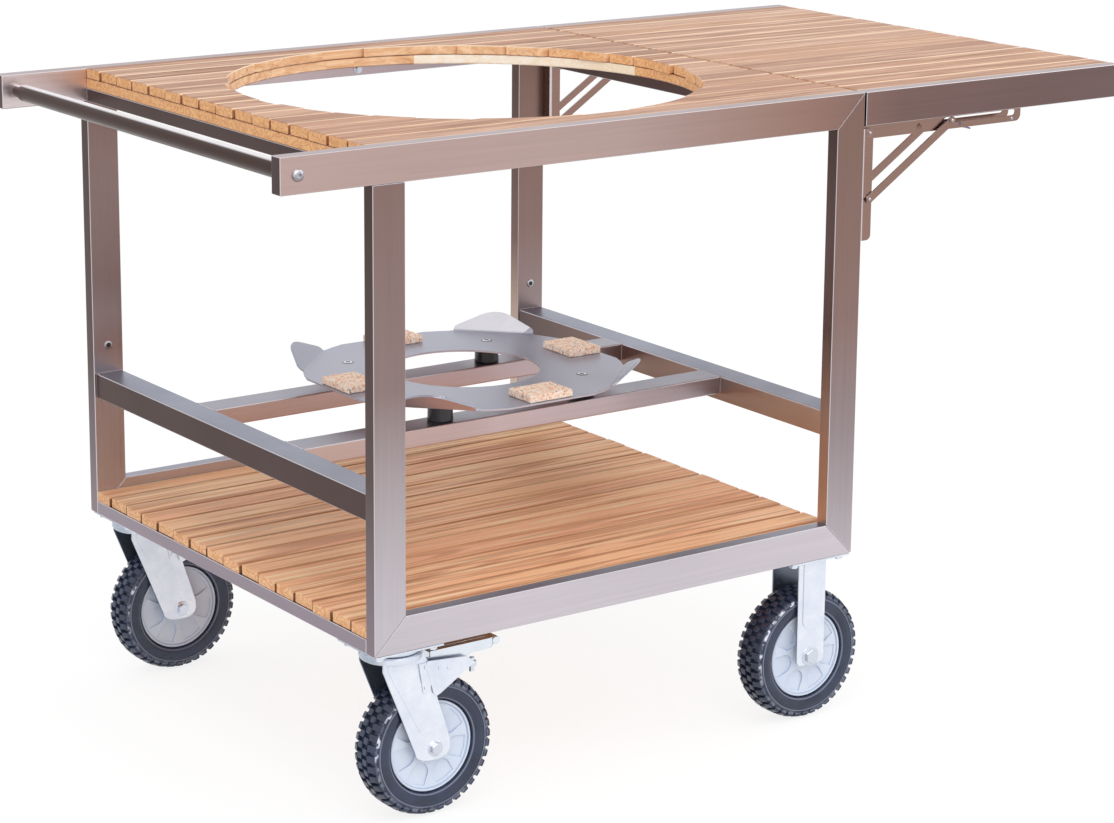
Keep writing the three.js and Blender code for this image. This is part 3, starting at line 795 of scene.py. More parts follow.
class Effects:
    """Effects that several finishes share, each built once as a node group."""

    built: dict[str, bpy.types.NodeTree] = {}

    @classmethod
    def group(cls, name: str) -> bpy.types.NodeTree:
        """The group of that name, built on first use.

        Args:
            name: brushed_lines, handling_marks, teak_board or grit.

        Returns:
            The node group.
        """
        if name not in cls.built:
            cls.built[name] = getattr(cls, name)()
        return cls.built[name]

    @staticmethod
    def frame(name: str, inputs: dict[str, float],
              outputs: tuple[str, ...]) -> tuple[Graph, dict[str, bpy.types.NodeSocket], bpy.types.Node]:
        """An empty node group with named sockets.

        Args:
            name: the group's name.
            inputs: numbers that the effect takes besides its vector, with their defaults.
            outputs: the names of the values that it puts out.

        Returns:
            The group's graph, its inputs by name, and the node whose inputs are the group's outputs.
        """
        tree = bpy.data.node_groups.new(name, "ShaderNodeTree")
        for label, default in {"Vector": (0.0, 0.0, 0.0), **inputs}.items():
            kind = "NodeSocketVector" if isinstance(default, tuple) else "NodeSocketFloat"
            tree.interface.new_socket(label, in_out="INPUT", socket_type=kind).default_value = default
        for label in outputs:
            tree.interface.new_socket(label, in_out="OUTPUT", socket_type="NodeSocketFloat")
        enter = {socket.name: socket for socket in tree.nodes.new("NodeGroupInput").outputs if socket.name}
        return Graph(tree), enter, tree.nodes.new("NodeGroupOutput")

    @classmethod
    def brushed_lines(cls) -> bpy.types.NodeTree:
        """Long fine lines along the given vector's X, with a tone and a height.

        Returns:
            The node group.
        """
        graph, enter, leave = cls.frame("brushed_lines", {"Lines": 900.0, "Length": 6.0}, ("Tone", "Height"))
        along, *across = graph.split(enter["Vector"])
        place = graph.add("CombineXYZ", X=graph.times(along, enter["Length"]),
                          Y=graph.times(across[0], enter["Lines"]),
                          Z=graph.times(across[1], enter["Lines"])).outputs[0]
        fine = graph.noise(place, 1.0, 3.0, 0.7)
        wide = graph.stretched(place, (0.4, 0.12, 0.12))
        mean = graph.plus(graph.times(fine, 0.6), graph.times(wide, 0.4))
        graph.feed(leave, Tone=graph.spread(mean, 0.3, 0.7), Height=fine)
        return graph.tree

    @classmethod
    def handling_marks(cls) -> bpy.types.NodeTree:
        """Soft smudges and sparse fine scratches.

        Returns:
            The node group.
        """
        graph, enter, leave = cls.frame("handling_marks", {"Scale": 6.0}, ("Smudge", "Scratch"))
        place = graph.add("VectorMath", operation="SCALE", **enter).outputs[0]
        scratch = graph.stretched(place, (3.0, 14.0, 30.0), 2.0, 0.6, 1.5)
        graph.feed(leave, Smudge=graph.spread(graph.noise(place, 1.0, 4.0, 0.6, 0.4), 0.35, 0.7),
                   Scratch=graph.spread(scratch, 0.68, 0.74))
        return graph.tree

    @classmethod
    def grit(cls) -> bpy.types.NodeTree:
        """Grains in three sizes as masks and a height, for rubber, pads and cast skin.

        Returns:
            The node group.
        """
        graph, enter, leave = cls.frame("grit", {"Scale": 300.0}, ("Grain", "Fleck", "Height"))
        place = graph.add("VectorMath", operation="SCALE", **enter).outputs[0]
        cells = graph.add("TexVoronoi", Vector=place, Scale=1.0).outputs
        fleck = graph.spread(graph.stretched(place, (0.7, 0.7, 0.7), 3.0, 0.6), 0.62, 0.66)
        graph.feed(leave, Grain=graph.times(cells["Color"], 1.0), Fleck=fleck, Height=cells["Distance"])
        return graph.tree

    @classmethod
    def teak_board(cls) -> bpy.types.NodeTree:
        """Which board a point lies in, its streaks, pores and figure.

        Returns:
            The node group.
        """
        graph, enter, leave = cls.frame("teak_board", {"Pitch": 0.0495},
                                        ("Board", "Other", "Streak", "Pore", "Figure"))
        along, across, up = graph.split(enter["Vector"])
        index = graph.math("FLOOR", graph.math("DIVIDE", across, enter["Pitch"]))
        leaf, low = graph.above(along, LEAF_SEAM), graph.below(up, SHELF_BELOW)
        seed = graph.plus(index, graph.plus(graph.times(leaf, 37.0), graph.times(low, 71.0)))
        draws = [graph.add("TexWhiteNoise", noise_dimensions="1D", W=spot).outputs["Value"]
                 for spot in (seed, graph.plus(seed, 0.5))]
        shift = graph.add("CombineXYZ", X=graph.times(seed, 3.7), Y=graph.times(seed, 1.3), Z=0.0).outputs[0]
        place = graph.vector("ADD", enter["Vector"], shift)
        growth = graph.stretched(place, (1.1, 24.0, 24.0), 1.5, 0.5, 0.5)
        contours = graph.math("SINE", graph.times(growth, 44.0))
        graph.feed(leave, Board=draws[0], Other=draws[1],
                   Streak=graph.stretched(place, (3.4, 105.0, 105.0), 5.0, 0.66, 0.6),
                   Pore=graph.spread(graph.stretched(place, (55.0, 400.0, 400.0), 2.0, 0.7, 1.2), 0.6, 0.78),
                   Figure=graph.spread(contours, -1.0, 1.0))
        return graph.tree


@dataclass(frozen=True)
class Finish:
    """What every finish shares: a name, and a graph that ends in one shader."""

    name: str

    def material(self) -> bpy.types.Material:
        """The finish's material, made on first use.

        Returns:
            The material.
        """
        known = bpy.data.materials.get(self.name)
        if known:
            return known
        material = bpy.data.materials.new(self.name)
        material.use_nodes = True
        material.node_tree.nodes.clear()
        graph = Graph(material.node_tree)
        shader = graph.add("BsdfPrincipled")
        graph.add("OutputMaterial", Surface=shader.outputs[0])
        self.paint(graph, shader)
        return material

    def paint(self, graph: Graph, shader: bpy.types.Node) -> None:
        """Fills in the shader; each finish has its own way."""
        raise NotImplementedError


@dataclass(frozen=True)
class BrushedSteel(Finish):
    """Stainless steel with brush lines along one axis; its reflection and shade are painted in by the face's
    direction, upright faces warmer than level ones, with a painted highlight on rounded edges.
    """

    along: Axis = Axis.X
    # The upright, level and end tones are painted reflection and shade: for faces that look sideways, up, and
    # along X or down.
    upright: Colour = tone(176, 152, 145)
    level: Colour = tone(186, 189, 207)
    ends: Colour = tone(122, 106, 104)
    # The sweeps paint the reflection tones changing along the piece.
    sweep: Sweep = ()
    side_sweep: Sweep = ()
    # The edge tone is a painted highlight on rounded edges, at the glint share.
    edge: Colour = tone(232, 228, 234)
    glint: float = 0.75
    roughness: float = 0.3
    lines: float = 1500.0
    line_length: float = 7.0
    line_depth: float = 0.000012

    def swept(self, graph: Graph, place: bpy.types.NodeSocket, steady: Colour, sweep: Sweep) -> object:
        """A painted reflection tone that may change slowly along the piece.

        Args:
            graph: the material's graph.
            place: the object coordinates.
            steady: the tone where there is no sweep.
            sweep: pairs of a place along the piece, in metres, and the tone there.

        Returns:
            A colour, or a socket that gives one.
        """
        if not sweep:
            return steady
        start, end = sweep[0][0], sweep[-1][0]
        along = graph.spread(graph.split(place)[self.along.value], start, end)
        return graph.ramp(along, [((spot - start) / (end - start), colour) for spot, colour in sweep])

    def paint(self, graph: Graph, shader: bpy.types.Node) -> None:
        """Paints reflection and shade into the colour by the face's direction, a highlight on rounded edges,
        and lays brush lines over them.

        Args:
            graph: the material's graph.
            shader: its Principled shader.
        """
        place = graph.place()
        turn = {Axis.X: (0.0, 0.0, 0.0), Axis.Y: (0.0, 0.0, -math.pi / 2), Axis.Z: (0.0, math.pi / 2, 0.0)}
        lined = graph.add("Mapping", Vector=place, Rotation=turn[self.along]).outputs[0]
        brush = graph.effect("brushed_lines", lined, Lines=self.lines, Length=self.line_length)
        marks = graph.effect("handling_marks", place, Scale=5.0)
        normal = graph.facing()
        facing = [graph.absolute(part) for part in normal]
        flat = graph.math("MAXIMUM", graph.math("MAXIMUM", facing[0], facing[1]), facing[2])
        # Painted reflection and shade by the way each face looks, then a painted highlight on rounded edges.
        colour = graph.blend(graph.spread(facing[0], 0.3, 0.9),
                             self.swept(graph, place, self.upright, self.sweep),
                             self.swept(graph, place, self.ends, self.side_sweep))
        for share, shade in ((graph.spread(normal[2], -0.9, -0.3, 1.0, 0.0), self.ends),
                             (graph.spread(normal[2], 0.3, 0.9), self.level),
                             (graph.spread(flat, 0.86, 0.97, self.glint, 0.0), self.edge)):
            colour = graph.blend(share, colour, shade)
        colour = graph.dimmed(colour, graph.spread(brush["Tone"], 0.0, 1.0, 0.9, 1.06))
        colour = graph.dimmed(colour, graph.spread(graph.noise(place, 2.1, 2.0), 0.3, 0.7, 0.94, 1.05))
        wear_and_edge_shading = graph.spread(marks["Smudge"], 0.0, 1.0, self.roughness - 0.05, self.roughness + 0.06)
        rough = graph.plus(graph.times(brush["Tone"], 0.1), wear_and_edge_shading)
        graph.feed(shader, Base_Color=colour, Metallic=1.0, Roughness=rough,
                   Normal=graph.bump(brush["Height"], self.line_depth, 0.35))


@dataclass(frozen=True)
class SheetSteel(Finish):
    """Smooth sheet steel with a slight mirror; its reflection is painted as one tone above and another below,
    with a painted highlight on a raised part where given.
    """

    # The colour and under tones are painted reflection for faces that look up and down; the turn says where
    # one gives way to the other.
    colour: Colour = tone(166, 168, 184)
    under: Colour = tone(140, 120, 114)
    turn: Flat = (-0.2, 0.25)
    # The raised tone is a painted highlight on the upper faces of a raised part.
    raised: tuple = ()
    raised_from: Point = (0.0, 0.0, 0.0)
    metallic: float = 1.0
    roughness: float = 0.16

    def paint(self, graph: Graph, shader: bpy.types.Node) -> None:
        """Paints the reflection's tones by the face's direction, a highlight on the raised part where given,
        and lays smudges over them.

        Args:
            graph: the material's graph.
            shader: its Principled shader.
        """
        place = graph.place()
        marks = graph.effect("handling_marks", place, Scale=11.0)
        brush = graph.effect("brushed_lines", place, Lines=2200.0, Length=20.0)
        upward = graph.facing()[2]
        # Painted reflection: one tone below, another above.
        colour = graph.blend(graph.spread(upward, *self.turn), self.under, self.colour)
        if self.raised:
            right, behind, rise = graph.split(place)
            from_x, from_y, low = self.raised_from
            share = graph.times(graph.above(right, from_x), graph.above(behind, from_y),
                                graph.spread(rise, low, low + 3.0 * MM), graph.above(upward, 0.0))
            colour = graph.blend(share, colour, self.raised)
        colour = graph.dimmed(colour, graph.spread(marks["Smudge"], 0.0, 1.0, 0.92, 1.04))
        rough = graph.spread(marks["Smudge"], 0.0, 1.0, self.roughness, self.roughness + 0.1)
        graph.feed(shader, Base_Color=colour, Metallic=self.metallic, Roughness=rough,
                   Normal=graph.bump(brush["Height"], 0.000008, 0.25))


@dataclass(frozen=True)
class Zinc(Finish):
    """Bright zinc plating, pale and bluish with a faint bloom; painted shade darkens faces that look along X
    and the forks' inner faces.
    """

    colour: Colour = tone(238, 242, 250)
    bloom: Colour = tone(220, 228, 242)
    # The inside and side tones are painted shade: on the forks' inner faces beside the wheel, and on faces
    # that look along X.
    inside: Colour = tone(112, 118, 132)
    side: Colour = tone(150, 162, 178)
    scratch: Colour = tone(180, 190, 208)
    middle: float = 0.358
    inner_half: float = 0.0294
    inner_top: float = 0.2325
    roughness: float = 0.3

    def paint(self, graph: Graph, shader: bpy.types.Node) -> None:
        """Mixes bright and bloomed plating, scratches it lightly, and paints shade on faces along X and on
        what lies beside a wheel.

        Args:
            graph: the material's graph.
            shader: its Principled shader.
        """
        place = graph.place()
        marks = graph.effect("handling_marks", place, Scale=24.0)
        grit = graph.effect("grit", place, Scale=420.0)
        colour = graph.blend(marks["Smudge"], self.colour, self.bloom)
        _, lane, height = graph.split(place)
        within = graph.below(graph.away(graph.absolute(lane), self.middle), self.inner_half)
        # Light scratches, then painted shade on faces along X and on the forks' inner faces.
        for share, shade in (
                (graph.times(marks["Scratch"], 0.2), self.scratch),
                (graph.spread(graph.absolute(graph.facing()[0]), 0.6, 0.9, 0.0, 0.7), self.side),
                (graph.times(within, graph.below(height, self.inner_top)), self.inside)):
            colour = graph.blend(share, colour, shade)
        rough = graph.spread(marks["Smudge"], 0.0, 1.0, self.roughness - 0.06, self.roughness + 0.12)
        graph.feed(shader, Base_Color=colour, Metallic=0.75, Roughness=rough,
                   Normal=graph.bump(grit["Height"], 0.00002, 0.3))


@dataclass(frozen=True)
class Rubber(Finish):
    """Moulded rubber: bluish charcoal with a dusty bloom and a fine skin.

    The rings give a radius from the axle, a half width and a share of the sheen. The shoulder's spans
    say how far a glint lies from the axle and from the tyre's middle.
    """

    colour: Colour = tone(62, 62, 74)
    bloom: Colour = tone(84, 84, 98)
    # The sheen and glint tones are painted highlights.
    sheen: Colour = tone(150, 156, 182)
    glint: Colour = tone(232, 236, 248)
    rings: tuple[tuple[float, float, float], ...] = ()
    axles: tuple[float, float, float] = (-0.496, 0.172, 0.1)
    lane: float = 0.358
    shoulder_aside: Flat = (22.5 * MM, 23.5 * MM)
    shoulder_inner: Flat = (87.2 * MM, 88.0 * MM)
    shoulder_outer: Flat = (93.5 * MM, 92.0 * MM)
    lit: Flat = (0.05, 0.11)
    roughness: float = 0.5

    def from_axle(self, graph: Graph, place: bpy.types.NodeSocket) -> list[bpy.types.NodeSocket]:
        """Where a point lies from the axle of its own wheel.

        Args:
            graph: the material's graph.
            place: the object coordinates.

        Returns:
            The distance, the way along X and the way up, in metres.
        """
        left, right, height = self.axles
        x, _, z = graph.split(place)
        axle = graph.spread(graph.above(x, (left + right) / 2), 0.0, 1.0, left, right)
        across, up = graph.minus(x, axle), graph.minus(z, height)
        squares = graph.plus(graph.times(across, across), graph.times(up, up))
        return [graph.math("SQRT", squares), across, up]

    def paint(self, graph: Graph, shader: bpy.types.Node) -> None:
        """Blooms the rubber, grains its skin and paints highlights on a tyre's ribs and upper left shoulder.

        Args:
            graph: the material's graph.
            shader: its Principled shader.
        """
        place = graph.place()
        marks = graph.effect("handling_marks", place, Scale=18.0)
        grit = graph.effect("grit", place, Scale=900.0)
        colour = graph.blend(graph.times(marks["Smudge"], 0.6), self.colour, self.bloom)
        # Painted highlights: a sheen on the ribs, and broken glints on the upper left shoulder.
        if self.rings:
            radius, across, up = self.from_axle(graph, place)
            for spot, half, share in self.rings:
                rib = graph.spread(graph.away(radius, spot), 0.0, half, share, 0.0)
                colour = graph.blend(rib, colour, self.sheen)
            outward = graph.spread(graph.absolute(graph.facing()[1]), 0.35, 0.75)
            aside = graph.away(graph.absolute(graph.split(place)[1]), self.lane)
            outer = graph.times(graph.spread(aside, *self.shoulder_aside),
                                graph.spread(radius, *self.shoulder_outer))
            shoulder = graph.times(graph.spread(radius, *self.shoulder_inner), outer, outward)
            lit = graph.spread(graph.minus(up, across), *self.lit, 0.12, 1.0)
            broken = graph.times(graph.spread(graph.noise(place, 60.0, 2.0), 0.47, 0.55), lit)
            colour = graph.blend(graph.times(shoulder, broken), colour, self.glint)
        rough = graph.spread(marks["Smudge"], 0.0, 1.0, self.roughness - 0.1, self.roughness + 0.12)
        graph.feed(shader, Base_Color=colour, Roughness=rough,
                   Normal=graph.bump(grit["Height"], 0.00003, 0.4))


@dataclass(frozen=True)
class Plastic(Finish):
    """Moulded rim plastic, pale grey-blue and slightly satin."""

    colour: Colour = tone(214, 223, 238)
    shade: Colour = tone(196, 206, 224)
    # The pocket shade tone is painted shade on the pockets' steep walls, at the wall share.
    hollow: Colour = tone(168, 184, 212)
    wall: float = 0.75
    roughness: float = 0.36

    def paint(self, graph: Graph, shader: bpy.types.Node) -> None:
        """Varies the plastic's tone softly, paints shade on the pockets' steep walls and gives it a fine
        orange peel.

        Args:
            graph: the material's graph.
            shader: its Principled shader.
        """
        place = graph.place()
        marks = graph.effect("handling_marks", place, Scale=15.0)
        grit = graph.effect("grit", place, Scale=500.0)
        colour = graph.blend(graph.times(marks["Smudge"], 0.5), self.colour, self.shade)
        # Painted shade on faces that turn away from the axle's direction, such as the pockets' walls.
        steep = graph.spread(graph.absolute(graph.facing()[1]), 0.7, 0.95, self.wall, 0.0)
        colour = graph.blend(steep, colour, self.hollow)
        rough = graph.spread(marks["Smudge"], 0.0, 1.0, self.roughness - 0.06, self.roughness + 0.1)
        graph.feed(shader, Base_Color=colour, Roughness=rough,
                   Normal=graph.bump(grit["Height"], 0.00002, 0.3))


@dataclass(frozen=True)
class Teak(Finish):
    """Oiled teak boards along X, each board with its own tone, streaks and figure.

    A painted shade may darken the boards along an axis; it gives the axis, a span along it and the shares of
    light at the span's two ends.
    """

    boards: tuple[tuple[int, int, int], ...] = (
        (216, 174, 148), (200, 153, 126), (178, 131, 107), (208, 158, 125), (188, 142, 118), (224, 182, 154))
    dark: Colour = tone(140, 95, 72)
    light: Colour = tone(244, 208, 178)
    pore: Colour = tone(116, 74, 52)
    # The edge tone is painted on rounded edges: a highlight where pale, shade where dark.
    edge: Colour = tone(255, 230, 200)
    edge_share: float = 0.85
    wall: Colour = tone(255, 208, 162)
    wall_dark: Colour = tone(226, 164, 112)
    # The gap tone is painted shade on slat sides in the gaps.
    gap: Colour = tone(120, 74, 48)
    gap_from: Flat = (3.5 * MM, 1.8 * MM)
    end: Colour = tone(252, 192, 132)
    end_dark: Colour = tone(212, 140, 84)
    fade: tuple = ()
    top: float = 0.947
    thickness: float = 15.0 * MM
    hole: Flat = (-0.189, 0.3488)
    seam: float = LEAF_SEAM
    seam_half: Flat = (6.0 * MM, 7.0 * MM)
    margin: float = 8.0 * MM

    def in_gap(self, graph: Graph, place: bpy.types.NodeSocket,
               sideways: bpy.types.NodeSocket) -> bpy.types.NodeSocket:
        """Where a slat's side lies in the shade of the gap beside it.

        Args:
            graph: the material's graph.
            place: the object coordinates.
            sideways: how far the face looks along Y.

        Returns:
            The mask.
        """
        x, y, z = graph.split(place)
        deep, shallow = (self.top - depth for depth in self.gap_from)
        below = graph.spread(z, deep, shallow, 1.0, 0.0)
        slat = graph.above(z, self.top - self.thickness - 0.2 * MM)
        across = graph.minus(x, self.hole[0])
        squares = graph.plus(graph.times(across, across), graph.times(y, y))
        outside = graph.above(squares, (self.hole[1] + self.margin) ** 2)
        return graph.times(below, slat, outside, graph.spread(sideways, 0.6, 0.9))

    def end_grain(self, graph: Graph, place: bpy.types.NodeSocket) -> bpy.types.NodeSocket:
        """The cut end of a board: cells, and growth rings that show through faintly.

        Args:
            graph: the material's graph.
            place: the object coordinates.

        Returns:
            The colour.
        """
        cells = graph.stretched(place, (60.0, 300.0, 200.0), 3.0, 0.7, 0.6)
        growth = graph.stretched(place, (2.0, 34.0, 48.0), 1.0, 0.5)
        rings = graph.spread(graph.math("SINE", graph.times(growth, 60.0)), -1.0, 1.0)
        grain = graph.plus(graph.times(rings, 0.3), cells)
        return graph.blend(graph.spread(grain, 0.4, 0.9), self.end_dark, self.end)

    def paint(self, graph: Graph, shader: bpy.types.Node) -> None:
        """Gives each board a tone and streaks it, pales its ends, paints the edge tone on its rounded edges
        as a highlight where pale and shade where dark, paints shade in the gaps, and paints shade along an
        axis where asked.

        Args:
            graph: the material's graph.
            shader: its Principled shader.
        """
        place = graph.place()
        board = graph.effect("teak_board", place)
        last = len(self.boards) - 1
        colour = graph.ramp(board["Board"],
                            [(index / last, tone(*shade)) for index, shade in enumerate(self.boards)])
        streak = graph.spread(board["Streak"], 0.3, 0.7)
        figured = graph.times(graph.spread(board["Other"], 0.2, 0.8), 0.5)
        normal = graph.facing()
        sideways = graph.absolute(normal[1])
        across = graph.times(graph.spread(sideways, 0.08, 0.4), graph.spread(normal[2], 0.04, 0.2))
        open_end = graph.spread(graph.away(graph.split(place)[0], self.seam), *self.seam_half, 0.25, 1.0)
        wall = graph.spread(graph.absolute(normal[2]), 0.05, 0.3, 0.88, 0.0)
        along = graph.spread(graph.absolute(normal[0]), 0.75, 0.95, 0.0, 0.8)
        grown = graph.blend(graph.spread(streak, 0.2, 0.8), self.wall_dark, self.wall)
        # How much of the painted edge tone shows, from board to board.
        wear_and_edge_shading = graph.spread(board["Other"], 0.15, 0.85, self.edge_share * 0.4, self.edge_share)
        for share, shade in (
                (graph.times(graph.spread(streak, 0.0, 0.42, 1.0, 0.0), 0.85), self.dark),
                (graph.times(graph.spread(streak, 0.6, 0.92), 0.85), self.light),
                (graph.times(graph.spread(board["Figure"], 0.35, 0.9), figured), self.dark),
                (graph.times(board["Pore"], 0.16), self.pore),
                (graph.times(wall, open_end), grown),
                (graph.times(across, wear_and_edge_shading), self.edge),
                (graph.times(along, open_end), self.end_grain(graph, place)),
                (graph.times(self.in_gap(graph, place, sideways), 0.85), self.gap)):
            colour = graph.blend(share, colour, shade)
        # Painted shade falling off along an axis.
        if self.fade:
            axis, *ends = self.fade
            colour = graph.dimmed(colour, graph.spread(graph.split(place)[axis.value], *ends))
        height = graph.minus(streak, board["Pore"])
        graph.feed(shader, Base_Color=colour, Roughness=graph.spread(board["Streak"], 0.2, 0.8, 0.62, 0.48),
                   Normal=graph.bump(height, 0.0001, 0.2))


@dataclass(frozen=True)
class FlakeBoard(Finish):
    """Pressed mineral board: pale flakes, beige binder and dark specks."""

    flakes: Sweep = ((0.0, tone(246, 196, 166)), (0.3, tone(255, 228, 206)), (0.55, tone(255, 244, 230)),
                     (0.8, tone(240, 174, 140)), (1.0, tone(255, 218, 192)))
    speck: Colour = tone(110, 76, 62)

    def paint(self, graph: Graph, shader: bpy.types.Node) -> None:
        """Lays flakes of several tones and pits the surface.

        Args:
            graph: the material's graph.
            shader: its Principled shader.
        """
        place = graph.place()
        grit = graph.effect("grit", place, Scale=330.0)
        colour = graph.blend(grit["Fleck"], graph.ramp(grit["Grain"], self.flakes), self.speck)
        height = graph.noise(place, 260.0, 4.0, 0.7)
        graph.feed(shader, Base_Color=colour, Roughness=0.85, Normal=graph.bump(height, 1.2 * MM, 0.7))


@dataclass(frozen=True)
class DarkRecess(Finish):
    """Painted shade: dark metal that stands for the shaded inside of a screw's drive or a hole."""

    dark: Colour = tone(34, 32, 34)
    light: Colour = tone(70, 66, 68)

    def paint(self, graph: Graph, shader: bpy.types.Node) -> None:
        """A dark metal of varying tone, as painted shade."""
        tint = graph.spread(graph.noise(graph.place(), 700.0), 0.3, 0.7)
        graph.feed(shader, Base_Color=graph.blend(tint, self.dark, self.light), Metallic=0.6, Roughness=0.5)


def sweep(*stops: tuple[float, int, int, int]) -> Sweep:
    """A run of tones along a piece, from places in metres and screen colours."""
    return tuple((spot, tone(*colour)) for spot, *colour in stops)


class Finishes:
    """The table's finishes by use."""

    # The steels' tones by face direction and their sweeps along each piece are painted reflection and shade.
    TOP_RAIL = BrushedSteel(
        "top_rail_steel", level=tone(176, 160, 162), ends=tone(78, 62, 62),
        sweep=sweep((-0.75, 192, 166, 160), (-0.2, 182, 158, 153), (0.12, 160, 127, 116), (0.3, 127, 102, 98),
                    (0.74, 118, 98, 97)))
    BACK_RAIL = BrushedSteel(
        "back_rail_steel", level=tone(176, 160, 162), ends=tone(78, 62, 62),
        sweep=sweep((-0.75, 240, 226, 228), (-0.5, 226, 208, 210), (-0.1, 196, 180, 186),
                    (0.2, 160, 142, 146)))
    LOW_RAIL = BrushedSteel("bottom_rail_steel", upright=tone(206, 199, 205), level=tone(150, 150, 164),
                            ends=tone(130, 116, 116))
    LEG = BrushedSteel(
        "leg_steel", along=Axis.Z, level=tone(150, 146, 154),
        side_sweep=sweep((0.25, 142, 130, 138), (0.5, 94, 78, 76), (0.95, 66, 48, 42)),
        sweep=sweep((0.25, 206, 201, 209), (0.45, 184, 174, 178), (0.62, 150, 130, 128),
                    (0.95, 138, 112, 106)))
    RIGHT_LEG = BrushedSteel(
        "right_leg_steel", along=Axis.Z, level=tone(150, 146, 154),
        side_sweep=sweep((0.25, 204, 186, 178), (0.44, 190, 168, 156), (0.6, 122, 98, 92),
                         (0.95, 76, 60, 58)),
        sweep=sweep((0.25, 186, 178, 184), (0.45, 156, 142, 144), (0.62, 144, 118, 112),
                    (0.95, 140, 112, 102)))
    MIDDLE_RAIL = BrushedSteel(
        "middle_rail_steel", level=tone(158, 156, 168), ends=tone(122, 106, 104),
        sweep=sweep((-0.56, 196, 166, 156), (-0.2, 204, 182, 182), (0.0, 202, 184, 188),
                    (0.18, 158, 146, 152)))
    CROSSBAR = BrushedSteel("crossbar_steel", along=Axis.Y, upright=tone(120, 104, 102),
                            level=tone(142, 146, 164), ends=tone(80, 62, 60))
    RIGHT_BAR = BrushedSteel(
        "right_bar_steel", along=Axis.Y, upright=tone(150, 126, 116), level=tone(142, 146, 164),
        side_sweep=sweep((-0.39, 204, 184, 172), (0.0, 150, 126, 116), (0.39, 94, 80, 80)))
    SHELF_BAR = BrushedSteel("shelf_bar_steel", along=Axis.Y, upright=tone(120, 104, 102),
                             level=tone(142, 146, 164), ends=tone(154, 142, 152))
    WELD = BrushedSteel(
        "ground_weld", along=Axis.Z, level=tone(190, 186, 192), ends=tone(150, 138, 138),
        sweep=sweep((0.3, 224, 218, 224), (0.5, 176, 156, 152), (0.9, 146, 118, 110)),
        glint=0.1, roughness=0.4, lines=3200.0)
    # A painted highlight along the bar's top, and painted dark reflection below it.
    HANDLE = SheetSteel("handle_steel", colour=tone(240, 236, 240), under=tone(68, 50, 45),
                        turn=(0.8, 0.93), roughness=0.2)
    BOLT = SheetSteel("bolt_steel", colour=tone(206, 206, 214), under=tone(150, 146, 152), roughness=0.22)
    BRACKET = BrushedSteel(
        "bracket_brushed", level=tone(176, 176, 190), ends=tone(140, 120, 116),
        sweep=sweep((0.228, 222, 212, 216), (0.2324, 222, 212, 216), (0.233, 152, 122, 112),
                    (0.543, 150, 120, 110)),
        roughness=0.22, lines=2400.0)
    # The plate's under tone and its bright raised ear are painted reflection and highlight.
    PLATE = SheetSteel("stand_plate_steel", colour=tone(172, 174, 190), under=tone(210, 190, 192),
                       raised=tone(232, 232, 240), raised_from=(-0.19, 0.13, 0.5115), metallic=0.6,
                       roughness=0.3)
    AXLE = SheetSteel("axle_bolt_steel", colour=tone(236, 240, 248), under=tone(196, 204, 218),
                      turn=(-0.5, 0.5), roughness=0.24)
    ZINC = Zinc("zinc_plate")
    # The tyre's rings are painted highlights on its ribs.
    TYRE = Rubber("tyre_rubber", colour=tone(38, 46, 66), bloom=tone(63, 74, 102), roughness=0.3,
                  rings=((85.8 * MM, 1.2 * MM, 0.8), (69.2 * MM, 1.2 * MM, 0.7), (91.2 * MM, 1.6 * MM, 0.35)))
    FOOT = Rubber("foot_rubber", colour=tone(38, 38, 42), bloom=tone(64, 64, 72), roughness=0.34)
    RIM = Plastic("rim_plastic", colour=tone(226, 235, 249), shade=tone(204, 218, 242))
    TEAK = Teak("teak_oiled")
    # The deck's copy of the teak: slightly darker boards, with end, wall and gap tones of its own.
    DECK = Teak("teak_weathered", dark=tone(126, 84, 63), light=tone(228, 188, 160),
                end=tone(255, 198, 136), end_dark=tone(218, 146, 86), wall=tone(255, 212, 168),
                gap=tone(160, 100, 62),
                boards=((207, 163, 136), (192, 145, 118), (168, 122, 99), (199, 148, 117), (179, 133, 110),
                        (214, 171, 143)))
    # The shelf's boards are brighter to stand in for light under the deck; its dark edge tone and its falloff
    # towards the back are painted shade.
    SHELF = Teak("teak_shelf", top=0.292, edge=tone(150, 92, 60), edge_share=0.5,
                 light=tone(255, 232, 190), dark=tone(182, 106, 66), end=tone(255, 206, 158),
                 hole=(0.0, 0.0), fade=(Axis.Y, 0.0, 0.38, 1.0, 0.9),
                 boards=((255, 196, 148), (255, 192, 144), (248, 180, 134), (255, 198, 148),
                         (252, 186, 140), (255, 202, 154)))
    RING = Teak("teak_ring", light=tone(255, 246, 230), dark=tone(240, 208, 172), end=tone(255, 238, 212),
                end_dark=tone(250, 222, 190), wall=tone(255, 248, 234), wall_dark=tone(252, 230, 202),
                boards=((255, 240, 216), (252, 232, 204), (255, 242, 222)))
    # The pedal's bright under and side faces are painted reflection; its top keeps the tread's grey.
    PEDAL = SheetSteel("pedal_steel", colour=tone(138, 130, 122), under=tone(226, 232, 240),
                       turn=(0.93, 0.99), roughness=0.18)
    LEVER = SheetSteel("lever_steel", colour=tone(122, 122, 148), under=tone(104, 102, 124), roughness=0.35)
    PAD = FlakeBoard("flake_board")
    RECESS = DarkRecess("screw_recess")


# The table


